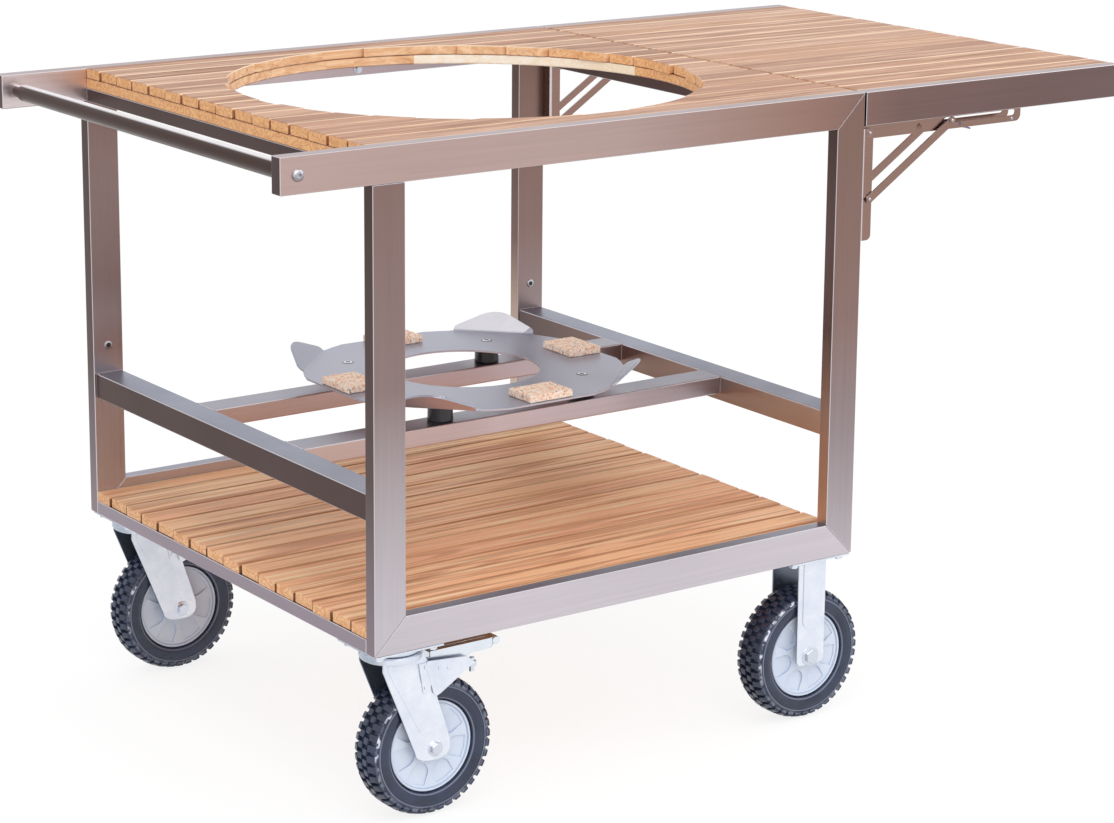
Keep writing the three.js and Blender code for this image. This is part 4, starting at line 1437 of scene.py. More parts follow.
@dataclass
class Studio:
    """Camera, floor and soft light."""

    image_width: float = 1114.0
    focal_pixels: float = 3067.64
    sensor: float = 36.0
    lens_shift: float = -0.1
    eye: Point = (-2.66525, -3.6946, 1.63711)
    right: Point = (0.8141815, -0.58054446, 0.00875304)
    up: Point = (0.12297323, 0.18715752, 0.9746023)
    back: Point = (-0.56743816, -0.79242678, 0.22377161)
    clip_end: float = 100.0
    floor_size: float = 60.0
    floor_drop: float = 0.5 * MM
    floor_glow: float = 0.84
    floor_seen: Colour = (0.2, 0.2, 0.2, 1.0)
    floor_unseen: Colour = (0.9, 0.9, 0.9, 1.0)
    sky: float = 0.82
    aim: Point = (0.0, 0.0, 0.6)
    lamps: tuple[tuple[str, Point, float], ...] = (
        ("key_lamp", (-1.2, -2.6, 3.4), 48.0), ("fill_lamp", (3.2, -1.0, 2.6), 22.0))
    lamp_size: float = 3.0

    def camera(self) -> None:
        """The camera at the photograph's place and angle."""
        data = bpy.data.cameras.new("camera")
        data.sensor_width = self.sensor
        data.lens = self.sensor * self.focal_pixels / self.image_width
        data.shift_y = self.lens_shift
        data.clip_end = self.clip_end
        view = bpy.data.objects.new("camera", data)
        bpy.context.scene.collection.objects.link(view)
        turn = Matrix((self.right, self.up, self.back)).transposed().to_4x4()
        view.matrix_world = Matrix.Translation(self.eye) @ turn
        bpy.context.scene.camera = view

    def floor(self) -> None:
        """A wide plain floor that keeps the object's shadow."""
        plane = added("studio_floor", bpy.ops.mesh.primitive_plane_add, size=self.floor_size,
                      location=(0.0, 0.0, -self.floor_drop))
        material = bpy.data.materials.new("studio_floor")
        material.use_nodes = True
        graph = Graph(material.node_tree)
        shader = material.node_tree.nodes["Principled BSDF"]
        seen = self.seen(graph)
        shade = graph.blend(seen, self.floor_unseen, self.floor_seen)
        graph.feed(shader, Base_Color=shade, Roughness=0.9, Specular_IOR_Level=0.0,
                   Emission_Color=WHITE, Emission_Strength=graph.times(seen, self.floor_glow))
        plane.data.materials.append(material)
        settle(plane)

    @staticmethod
    def seen(graph: Graph) -> bpy.types.NodeSocket:
        """One for rays that come from the camera, a mirror or a clear body, else nought.

        Args:
            graph: the material's or world's graph.

        Returns:
            The mask.
        """
        path = graph.add("LightPath").outputs
        mirrored = graph.math("MAXIMUM", path["Is Glossy Ray"], path["Is Transmission Ray"])
        return graph.math("MAXIMUM", path["Is Camera Ray"], mirrored)

    def light(self) -> None:
        """A white world for camera and reflections, a level sky, and two soft lamps."""
        world = bpy.data.worlds.new("studio")
        bpy.context.scene.world = world
        world.use_nodes = True
        world.node_tree.nodes.clear()
        graph = Graph(world.node_tree)
        sky = graph.add("Background", Color=WHITE,
                        Strength=graph.spread(self.seen(graph), 0.0, 1.0, self.sky, 1.0))
        graph.add("OutputWorld", Surface=sky.outputs[0])
        for name, place, power in self.lamps:
            data = bpy.data.lights.new(name, "AREA")
            data.size = self.lamp_size
            data.energy = power
            lamp = bpy.data.objects.new(name, data)
            lamp.location = place
            lamp.rotation_euler = (Vector(self.aim) - Vector(place)).to_track_quat("-Z", "Y").to_euler()
            bpy.context.scene.collection.objects.link(lamp)

    def build(self) -> None:
        """Sets the stage."""
        bpy.context.scene.view_settings.view_transform = "Standard"
        self.camera()
        self.floor()
        self.light()


@dataclass
class SideFrames:
    """The tubes of the two side frames, the bars between them, and their welds."""

    edge: float = 2.0 * MM
    weld_radius: float = 1.1 * MM
    ripple_pitch: float = 1.6
    ripple_low: float = 0.72
    mitre_width: float = 0.8 * MM
    mitre_proud: float = 0.2 * MM
    runs: dict[str, Axis] = field(default_factory=lambda: {
        "top_rail": Axis.X, "bottom_rail": Axis.X, "left_leg": Axis.Z, "right_leg": Axis.Z})
    bars: tuple[str, ...] = ("deck_crossbar_left", "deck_crossbar_right", "shelf_crossbar_left",
                             "shelf_crossbar_right", "middle_crossbar_left", "middle_crossbar_right")

    def tube(self, node: str, axis: Axis, body: str, finish: Finish) -> bpy.types.Object:
        """One tube with rounded long edges.

        Args:
            node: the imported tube.
            axis: the direction it runs in.
            body: the body it rides on.
            finish: its steel.

        Returns:
            The dressed tube.
        """
        piece = node_copy(node, f"{node}_tube")
        low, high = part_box(node)
        across = [index for index in range(3) if index != axis.value]

        def is_outer_long(first: Vector, last: Vector) -> bool:
            """Whether an edge runs along the tube at two of its outer faces.

            Args:
                first: one end.
                last: the other end.

            Returns:
                Whether it does.
            """
            if abs(first[axis.value] - last[axis.value]) < self.edge * 3:
                return False
            near = MM / 50
            return all(abs(first[i] - last[i]) < near
                       and min(abs(first[i] - low[i]), abs(first[i] - high[i])) < near for i in across)

        bevel_edges(piece, self.edge, is_outer_long)
        return dressed(piece, finish, body, (node,))

    def bead(self, name: str, axis: Axis, centre: Point, length: float) -> None:
        """A rippled weld bead along an inner corner.

        Args:
            name: the bead's name.
            axis: the direction it runs in.
            centre: its middle.
            length: its length.
        """
        ripples = round(length / (self.weld_radius * self.ripple_pitch))
        spots = [(index / ripples - 0.5) * length for index in range(ripples + 1)]
        profile = [(self.weld_radius * (1.0 if index % 2 else self.ripple_low), spot)
                   for index, spot in enumerate(spots)]
        bead = turned(name, axis, centre, [(0.0, spots[0]), *profile, (0.0, spots[-1])], 8)
        dressed(bead, Finishes.WELD, TABLE_BODY, smooth=70.0)

    def mitre(self, name: str, corner: Flat, inner: Flat, node: str) -> None:
        """The ground weld line across a mitred corner, on the tube's outer and inner face.

        Args:
            name: the line's name.
            corner: X and Z of the outer corner.
            inner: X and Z of the inner corner.
            node: a tube that gives the faces' places.
        """
        start, end = Vector(corner), Vector(inner)
        run = (end - start).normalized()
        start, end = start + run * self.edge, end - run * (self.edge / 2)
        half = Vector((-run.y, run.x)) * (self.mitre_width / 2)
        outline = [tuple(point) for point in (start - half, end - half, end + half, start + half)]
        low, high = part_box(node)
        strip = sheet_metal(name, outline, low[1] - self.mitre_proud, high[1] + self.mitre_proud)
        round_off(strip, self.mitre_proud / 2, 1)
        dressed(strip, Finishes.WELD, TABLE_BODY)

    def build(self) -> None:
        """Builds tubes, bars and welds."""
        finishes = {"bottom_rail": Finishes.LOW_RAIL, "left_leg": Finishes.LEG,
                    "right_leg": Finishes.RIGHT_LEG}
        for side in Side:
            label = side.label
            finishes["top_rail"] = Finishes.TOP_RAIL if side is Side.FRONT else Finishes.BACK_RAIL
            for stem, axis in self.runs.items():
                self.tube(f"{stem}_{label}", axis, TABLE_BODY, finishes[stem])
            self.tube(f"middle_rail_{label}", Axis.X, TABLE_BODY, Finishes.MIDDLE_RAIL)
            node = f"left_leg_{label}"
            (left, _, base), (inner, _, _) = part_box(node)
            face = inner - left
            rail_low, rail_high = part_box(f"top_rail_{label}")
            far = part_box(f"right_leg_{label}")[1][0]
            for word, corner, end in (
                    ("low_left", (left, base), (inner, base + face)),
                    ("low_right", (far, base), (far - face, base + face)),
                    ("top_right", (far, rail_high[2]), (far - face, rail_low[2]))):
                self.mitre(f"mitre_{word}_{label}", corner, end, node)
        bars = {"middle_crossbar_right": Finishes.RIGHT_BAR, "shelf_crossbar_left": Finishes.SHELF_BAR,
                "shelf_crossbar_right": Finishes.SHELF_BAR}
        for node in self.bars:
            self.tube(node, Axis.Y, TABLE_BODY, bars.get(node, Finishes.CROSSBAR))
        for end in ("left", "right"):
            low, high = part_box(f"middle_crossbar_{end}")
            face_x = high[0] if end == "left" else low[0]
            for side in Side:
                rail_low, rail_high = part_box(f"middle_rail_{side.label}")
                for word, y in (("near", rail_low[1]), ("far", rail_high[1])):
                    self.bead(f"bead_rail_{side.label}_{end}_{word}", Axis.Z,
                              (face_x, y, (rail_low[2] + rail_high[2]) / 2), rail_high[2] - rail_low[2])
                self.bead(f"bead_bar_{end}_{side.label}", Axis.X,
                          ((low[0] + high[0]) / 2, low[1] if side is Side.FRONT else high[1], high[2]),
                          high[0] - low[0] - self.edge)


@dataclass
class Hardware:
    """Threaded inserts in the legs and the bolt heads on the rails."""

    insert_radius: float = 6.5 * MM
    insert_bore: float = 3.6 * MM
    insert_lip: float = 1.2 * MM
    insert_above_bar: float = 42.0 * MM
    bolt_radius: float = 5.4 * MM
    bolt_height: float = 4.5 * MM
    bolt_x: float = -0.132
    bolt_below_top: float = 40.0 * MM

    def insert(self, name: str, centre: Point, inward: float) -> None:
        """A flanged threaded insert; the dark of its open bore is a disc of painted shade.

        Args:
            name: the insert's name.
            centre: the middle of its seat on the leg's inner face.
            inward: the sign of the Y direction that it faces.
        """
        lip, bore, outer = self.insert_lip, self.insert_bore, self.insert_radius
        profile = [(bore, -lip), (bore, lip), (outer * 0.8, lip), (outer, lip / 2), (outer, -lip)]
        ring = turned(name, Axis.Y, centre, [(radius, along * inward) for radius, along in profile], 32)
        dressed(ring, Finishes.BOLT, TABLE_BODY)
        # A dark disc in the bore is painted shade.
        upper, lower = lip * inward * 0.2, -lip * inward
        floor = turned(f"{name}_bore", Axis.Y, centre,
                       [(0.0, upper), (bore, upper), (bore, lower), (0.0, lower)], 24)
        dressed(floor, Finishes.RECESS, TABLE_BODY)

    def bolt(self, name: str, axis: Axis, centre: Point, sign: float) -> None:
        """A domed hexagon bolt head on a washer.

        Args:
            name: the bolt's name.
            axis: the bolt's axis.
            centre: the middle of its seat.
            sign: which way along the axis it stands.
        """
        outer, height = self.bolt_radius, self.bolt_height
        washer = turned(f"{name}_washer", axis, centre,
                        [(0.0, 0.0), (outer * 1.35, 0.0), (outer * 1.35, height * 0.2 * sign),
                         (outer * 1.2, height * 0.3 * sign), (0.0, height * 0.3 * sign)], 32)
        middle = Vector(centre) + axis.unit * (sign * height * 0.65)
        head = rod(name, axis, tuple(middle), outer, height * 0.7, 6)
        round_off(head, outer * 0.12, 2, 20.0)
        dressed(joined(name, [head, washer]), Finishes.AXLE, TABLE_BODY)

    def build(self) -> None:
        """Places inserts on all four legs, and bolts on the top rails and under the middle rails."""
        insert_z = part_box("middle_crossbar_left")[1][2] + self.insert_above_bar
        for side in Side:
            for stem in ("left_leg", "right_leg"):
                low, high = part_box(f"{stem}_{side.label}")
                seat = ((low[0] + high[0]) / 2, high[1] if side is Side.FRONT else low[1], insert_z)
                self.insert(f"insert_{stem}_{side.label}", seat, -side.sign)
            low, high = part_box(f"top_rail_{side.label}")
            face = high[1] if side is Side.FRONT else low[1]
            self.bolt(f"rail_bolt_{side.label}", Axis.Y, (self.bolt_x, face, high[2] - self.bolt_below_top),
                      -side.sign)
            for end in ("left", "right"):
                x, y, _ = centre_of(f"foot_{side.label}_{end}")
                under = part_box(f"middle_rail_{side.label}")[0][2]
                self.bolt(f"foot_nut_{side.label}_{end}", Axis.Z, (x, y, under), -1.0)


@dataclass
class PushHandle:
    """The round push bar with its necks and the socket screws that hold it."""

    neck_radius: float = 9.5 * MM
    neck_length: float = 20.0 * MM
    chamfer: float = 1.2 * MM
    socket_radius: float = 3.2 * MM
    socket_depth: float = 2.6 * MM
    shank_share: float = 0.47
    dome: tuple[float, ...] = (0.25, 0.55, 0.85, 1.1, 1.3)

    def build(self) -> None:
        """Turns the bar and both screws."""
        low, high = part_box("handle_bar")
        radius, half = (high[0] - low[0]) / 2, (high[1] - low[1]) / 2
        neck, shoulder = self.neck_radius, half - self.neck_length
        ends = [(0.0, -half), (neck, -half), (neck, -shoulder), (radius - self.chamfer, -shoulder),
                (radius, -shoulder + self.chamfer)]
        profile = ends + [(across, -along) for across, along in reversed(ends)]
        bar = turned("push_bar", Axis.Y, centre_of("handle_bar"), profile, 96)
        dressed(bar, Finishes.HANDLE, TABLE_BODY, ("handle_bar",))
        for side in Side:
            self.screw(side)

    def screw(self, side: Side) -> None:
        """A domed head with a hexagon socket, and its shank.

        Args:
            side: front or back.
        """
        node = f"handle_screw_{side.label}"
        low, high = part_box(node)
        radius = (high[0] - low[0]) / 2
        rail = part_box(f"top_rail_{side.label}")
        seat = rail[0][1] if side is Side.FRONT else rail[1][1]
        tip = low[1] if side is Side.FRONT else high[1]
        inner = high[1] if side is Side.FRONT else low[1]
        height = abs(tip - seat)
        shank = radius * self.shank_share
        rings = [(0.0, inner - seat), (shank, inner - seat), (shank, 0.0), (radius, 0.0)]
        rings += [(radius * math.cos(angle) ** 0.5, side.sign * height * math.sin(angle))
                  for angle in self.dome]
        rings.append((0.0, side.sign * height))
        centre = ((low[0] + high[0]) / 2, seat, (low[2] + high[2]) / 2)
        head = turned(f"push_bar_screw_{side.label}", Axis.Y, centre, rings, 48)
        tool = rod("socket", Axis.Y, (centre[0], tip, centre[2]), self.socket_radius,
                   self.socket_depth * 2, 6)
        cut(head, tool)
        dressed(head, Finishes.BOLT, TABLE_BODY, (node,))


@dataclass
class SlattedDeck:
    """A teak deck: rounded slats along X on battens along Y, and a ring under a round cut-out."""

    node: str
    name: str
    body: str
    battens: tuple[Flat, ...]
    finish: Finish
    hole_radius: float = 0.0
    ring_width: float = 40.0 * MM
    ring_seams: Flat = (-67.0 * MM, 45.0 * MM)
    pitch: float = 49.5 * MM
    gap: float = 4.2 * MM
    thickness: float = 15.0 * MM
    edge: float = 1.7 * MM
    stagger: float = 1.2 * MM
    stagger_turn: float = 2.4
    cut_stagger: float = 3.0
    tool_half: float = 0.1
    recess: float = 0.9 * MM
    arc_step: float = 2.5

    def spans(self) -> list[Flat]:
        """Lower and upper Y of every slat, from the front to the back.

        Returns:
            The pairs.
        """
        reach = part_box(self.node)[1][1]
        pairs = math.floor(reach / self.pitch)
        half = self.gap / 2
        spans = [(index * self.pitch + half, (index + 1) * self.pitch - half)
                 for index in range(-pairs, pairs)]
        rim = pairs * self.pitch + half
        return [(-reach, -rim), *spans, (rim, reach)]

    def cutter(self, middle: Vector) -> bpy.types.Object:
        """The round cut-out's tool, with a corner wherever a slat's edge meets the circle.

        Args:
            middle: the cut-out's centre.

        Returns:
            The tool.
        """
        radius = self.hole_radius
        angles = set()
        for start, end in self.spans():
            first, last = (math.asin(max(-1.0, min(1.0, spot / radius))) for spot in (start, end))
            steps = max(1, round((last - first) / math.radians(self.arc_step)))
            angles.update(first + (last - first) * step / steps for step in range(steps + 1))
        right = [(middle.x + radius * math.cos(angle), middle.y + radius * math.sin(angle))
                 for angle in sorted(angles)]
        left = [(2 * middle.x - x, y) for x, y in reversed(right[1:-1])]
        return sheet_metal("cut_out", right + left, middle.z - self.tool_half, middle.z + self.tool_half,
                           Axis.Z)

    def slats(self) -> list[bpy.types.Object]:
        """All slats, each slightly out of line with the next; the cut ones are rounded after the cut.

        Returns:
            The slats, from the front to the back.
        """
        low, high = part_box(self.node)
        middle = (Vector(low) + Vector(high)) / 2
        under = high[2] - self.thickness
        made = []
        patterns = {}
        for index, (start, end) in enumerate(self.spans()):
            width = round((end - start) / MM, 3)
            name = f"{self.name}_slat_{index + 1:02d}"
            if width not in patterns:
                pattern = box("slat_pattern", (low[0] + self.stagger, 0.0, under),
                              (high[0] - self.stagger, end - start, high[2]))
                patterns[width] = pattern if self.hole_radius else round_off(pattern, self.edge, 3)
            slip = self.stagger * math.sin(index * self.stagger_turn)
            slat = copied(patterns[width], name, (slip, start, 0.0))
            if self.hole_radius:
                if min(abs(start), abs(end)) < self.hole_radius:
                    cut(slat, self.cutter(middle + Vector((slip * self.cut_stagger, 0.0, 0.0))))
                round_off(slat, self.edge, 3, 50.0)
            made.append(slat)
        for pattern in patterns.values():
            bpy.data.objects.remove(pattern)
        return made

    def parted(self, ring: bpy.types.Object, foot: float) -> None:
        """Parts the ring batten in three boards, of which the one at the back right is pale.

        Args:
            ring: the whole ring, which becomes its back right part.
            foot: the ring's lower face.
        """
        low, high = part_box(self.node)
        seam_x, seam_y = self.ring_seams
        left_side = (low[0], low[1], seam_x, high[1])
        right_side = (seam_x, low[1], high[0], high[1])
        front_side = (low[0], low[1], high[0], seam_y)
        back_side = (low[0], seam_y, high[0], high[1])
        for piece, others, finish in (
                (copied(ring, f"{self.name}_ring_left"), (right_side,), self.finish),
                (copied(ring, f"{self.name}_ring_front"), (left_side, back_side), self.finish),
                (ring, (left_side, front_side), Finishes.RING)):
            for x_start, y_start, x_end, y_end in others:
                cut(piece, box("other_side", (x_start, y_start, foot - self.ring_width),
                               (x_end, y_end, foot + self.ring_width)))
            dressed(piece, finish, self.body, (self.node,))

    def build(self) -> None:
        """Builds slats, battens and ring."""
        low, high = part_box(self.node)
        under = high[2] - self.thickness
        made = self.slats()
        for index, (start, end) in enumerate(self.battens):
            batten = box(f"{self.name}_batten_{index + 1}", (start, low[1], low[2]), (end, high[1], under))
            made.append(round_off(batten, self.edge, 2))
        if self.hole_radius:
            inner, outer = self.hole_radius + self.recess, self.hole_radius + self.ring_width
            chamfer, tall = self.edge, under - low[2] - self.recess
            profile = [(inner + chamfer, 0.0), (outer, 0.0), (outer, tall), (inner, tall), (inner, chamfer)]
            middle = ((low[0] + high[0]) / 2, (low[1] + high[1]) / 2, low[2] + self.recess / 2)
            ring = turned(f"{self.name}_ring_back", Axis.Z, middle, profile, 192)
            self.parted(ring, middle[2])
        for piece in made:
            dressed(piece, self.finish, self.body, (self.node,))


@dataclass
class FoldingLeaf:
    """The leaf's steel rails and bars."""

    frames: SideFrames = field(default_factory=SideFrames)

    def build(self) -> None:
        """Copies the rails and bars with rounded edges."""
        for side in Side:
            self.frames.tube(f"leaf_rail_{side.label}", Axis.X, LEAF_BODY, Finishes.TOP_RAIL)
        for end in ("near", "far"):
            self.frames.tube(f"leaf_crossbar_{end}", Axis.Y, LEAF_BODY, Finishes.CROSSBAR)


@dataclass
class StandPlate:
    """The grill's stand plate with turned-up corners, screws, rubber feet and board pads."""

    half: float = 228.0 * MM
    corner_reach: float = 240.2 * MM
    bend_at: float = 231.0 * MM
    bend_width: float = 7.0 * MM
    bend_steps: int = 6
    ear: tuple[Flat, ...] = scaled((
        (62.5, 0.0), (63.2, 3.2), (63.2, 7.4), (61.4, 11.2), (57.4, 14.4), (46.0, 21.4), (35.0, 28.6),
        (25.0, 35.0), (17.4, 38.8), (10.0, 41.2), (5.0, 42.0), (0.1, 42.2)))
    hole_radius: float = 113.0 * MM
    slope: float = 38.0
    edge: float = 0.5 * MM
    screw_radius: float = 7.2 * MM
    cross_length: float = 8.4 * MM
    cross_width: float = 2.4 * MM
    foot_shares: tuple[Flat, ...] = (
        (0.0, 0.0), (0.94, 0.0), (1.0, 0.05), (1.0, 0.12), (0.975, 0.2), (0.965, 0.78), (0.99, 0.9),
        (0.98, 0.96), (0.92, 1.0), (0.0, 1.0))
    pad_edge: float = 2.2 * MM
    pad_rough: float = 1.6 * MM
    pad_grain: float = 4.0 * MM
    pad_cuts: int = 22

    def outline(self) -> list[Flat]:
        """The flat sheet's outline: straight sides, short arcs and four domed ears on the diagonals.

        Returns:
            Its points as X and Y, round the origin.
        """
        side = math.degrees(math.acos(self.half / self.corner_reach))
        root = 45.0 - math.degrees(math.asin(self.ear[0][0] / self.corner_reach))
        corner = (side, (side + root) / 2, root)
        ear = [(self.bend_at + rise, half) for half, rise in self.ear[1:]]
        ear += [(out, -half) for out, half in reversed(ear)]
        points = []
        for quarter in range(4):
            start = 90.0 * quarter
            turn = math.radians(start + 45.0)
            points += [self.polar(start + angle) for angle in corner]
            cosine, sine = math.cos(turn), math.sin(turn)
            points += [(out * cosine + half * sine, out * sine - half * cosine) for out, half in ear]
            points += [self.polar(start + 90.0 - angle) for angle in reversed(corner)]
        return points

    def polar(self, angle: float) -> Flat:
        """A point of the rim's circle at an angle in degrees."""
        turn = math.radians(angle)
        return (self.corner_reach * math.cos(turn), self.corner_reach * math.sin(turn))

    def fold(self, piece: bpy.types.Object, tall: float) -> None:
        """Folds up the ear that points along X, in small steps round the bend.

        Args:
            piece: the sheet, centred on the origin, its upper face at nought.
            tall: the sheet's thickness.
        """
        spots = [self.bend_at + self.bend_width * (step / self.bend_steps - 0.5)
                 for step in range(self.bend_steps + 1)]
        for spot in spots:
            with editing(piece, whole=True):
                bpy.ops.mesh.bisect(plane_co=(spot, 0.0, 0.0), plane_no=Axis.X.unit)
        for spot in reversed(spots[:-1]):
            for vertex in piece.data.vertices:
                vertex.select = vertex.co.x > spot + MM / 20
            with editing(piece):
                bpy.ops.transform.rotate(value=math.radians(self.slope / self.bend_steps), orient_axis="Y",
                                         center_override=(spot, 0.0, -tall / 2))

    def sheet(self) -> None:
        """The plate: cut to its outline, folded at four ears, with its round hole."""
        x, y, _ = centre_of("stand_plate")
        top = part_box("pad_left")[0][2]
        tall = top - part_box("foot_front_left")[1][2]
        plate = sheet_metal("grill_stand_plate", self.outline(), -tall, 0.0, Axis.Z)
        cut(plate, rod("hole", Axis.Z, (0.0, 0.0, 0.0), self.hole_radius, 0.1, 144))
        round_off(plate, self.edge, 2, 50.0)
        for turn in (45.0, 90.0, 90.0, 90.0):
            plate.rotation_euler = (0.0, 0.0, math.radians(turn))
            self.fold(settle(plate), tall)
        plate.rotation_euler = (0.0, 0.0, math.radians(45.0))
        plate.location = (x, y, top)
        dressed(settle(plate), Finishes.PLATE, TABLE_BODY, ("stand_plate",), 30.0)

    def screw(self, name: str, x: float, y: float, top: float) -> None:
        """A countersunk screw; the dark cross in its head and the dark seat round it are painted shade.

        Args:
            name: the screw's name.
            x: its place along X.
            y: its place along Y.
            top: the plate's upper face.
        """
        rise, radius = self.cross_width / 3, self.screw_radius
        seat = radius + self.cross_width / 2
        profile = [(0.0, -radius / 3), (radius / 2, -radius / 3), (radius, 0.0), (radius, rise * 0.6),
                   (radius * 0.86, rise), (0.0, rise)]
        head = turned(name, Axis.Z, (x, y, top), profile, 40)
        dressed(head, Finishes.AXLE, TABLE_BODY)
        # The drive's cross bars stand on the head and the seat ring lies round it, all painted shade.
        arms = ((self.cross_length / 2, self.cross_width / 2), (self.cross_width / 2, self.cross_length / 2))
        drive = [round_off(box("bar", (x - half, y - wide, top), (x + half, y + wide, top + rise * 1.3)),
                           rise / 2, 2) for half, wide in arms]
        drive.append(turned("seat", Axis.Z, (x, y, top),
                            [(radius, -rise), (seat, -rise), (seat, rise / 3), (radius, rise / 3)], 40))
        dressed(joined(f"{name}_drive", drive), Finishes.RECESS, TABLE_BODY)

    def foot(self, node: str) -> None:
        """A rubber foot with soft rims and a slight waist.

        Args:
            node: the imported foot.
        """
        low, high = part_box(node)
        radius, tall = (high[0] - low[0]) / 2, high[2] - low[2]
        profile = [(radius * a, tall * b) for a, b in self.foot_shares]
        foot = turned(f"{node}_rubber", Axis.Z, (*centre_of(node)[:2], low[2]), profile, 48)
        dressed(foot, Finishes.FOOT, TABLE_BODY, (node,), 50.0)

    def pad(self, node: str) -> None:
        """A sawn pad of pressed board with crumbly faces.

        Args:
            node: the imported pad.
        """
        low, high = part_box(node)
        inset = self.pad_rough / 3
        pad = box(f"{node}_board", (low[0] + inset, low[1] + inset, low[2]),
                  (high[0] - inset, high[1] - inset, high[2] - inset))
        round_off(pad, self.pad_edge, 2)
        with editing(pad, whole=True):
            bpy.ops.mesh.subdivide(number_cuts=self.pad_cuts)
        grain = bpy.data.textures.get("board_grain") or bpy.data.textures.new("board_grain", "CLOUDS")
        grain.noise_scale = self.pad_grain
        modified(pad, "DISPLACE", texture=grain, texture_coords="GLOBAL", strength=self.pad_rough,
                 mid_level=0.6)
        dressed(pad, Finishes.PAD, TABLE_BODY, (node,), 60.0)

    def build(self) -> None:
        """Builds plate, screws, feet and pads."""
        self.sheet()
        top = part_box("pad_left")[0][2]
        for side in Side:
            for end in ("left", "right"):
                place = f"{side.label}_{end}"
                self.foot(f"foot_{place}")
                self.screw(f"plate_screw_{place}", *centre_of(f"foot_{place}")[:2], top)
        for word in ("left", "right", "front", "back"):
            self.pad(f"pad_{word}")


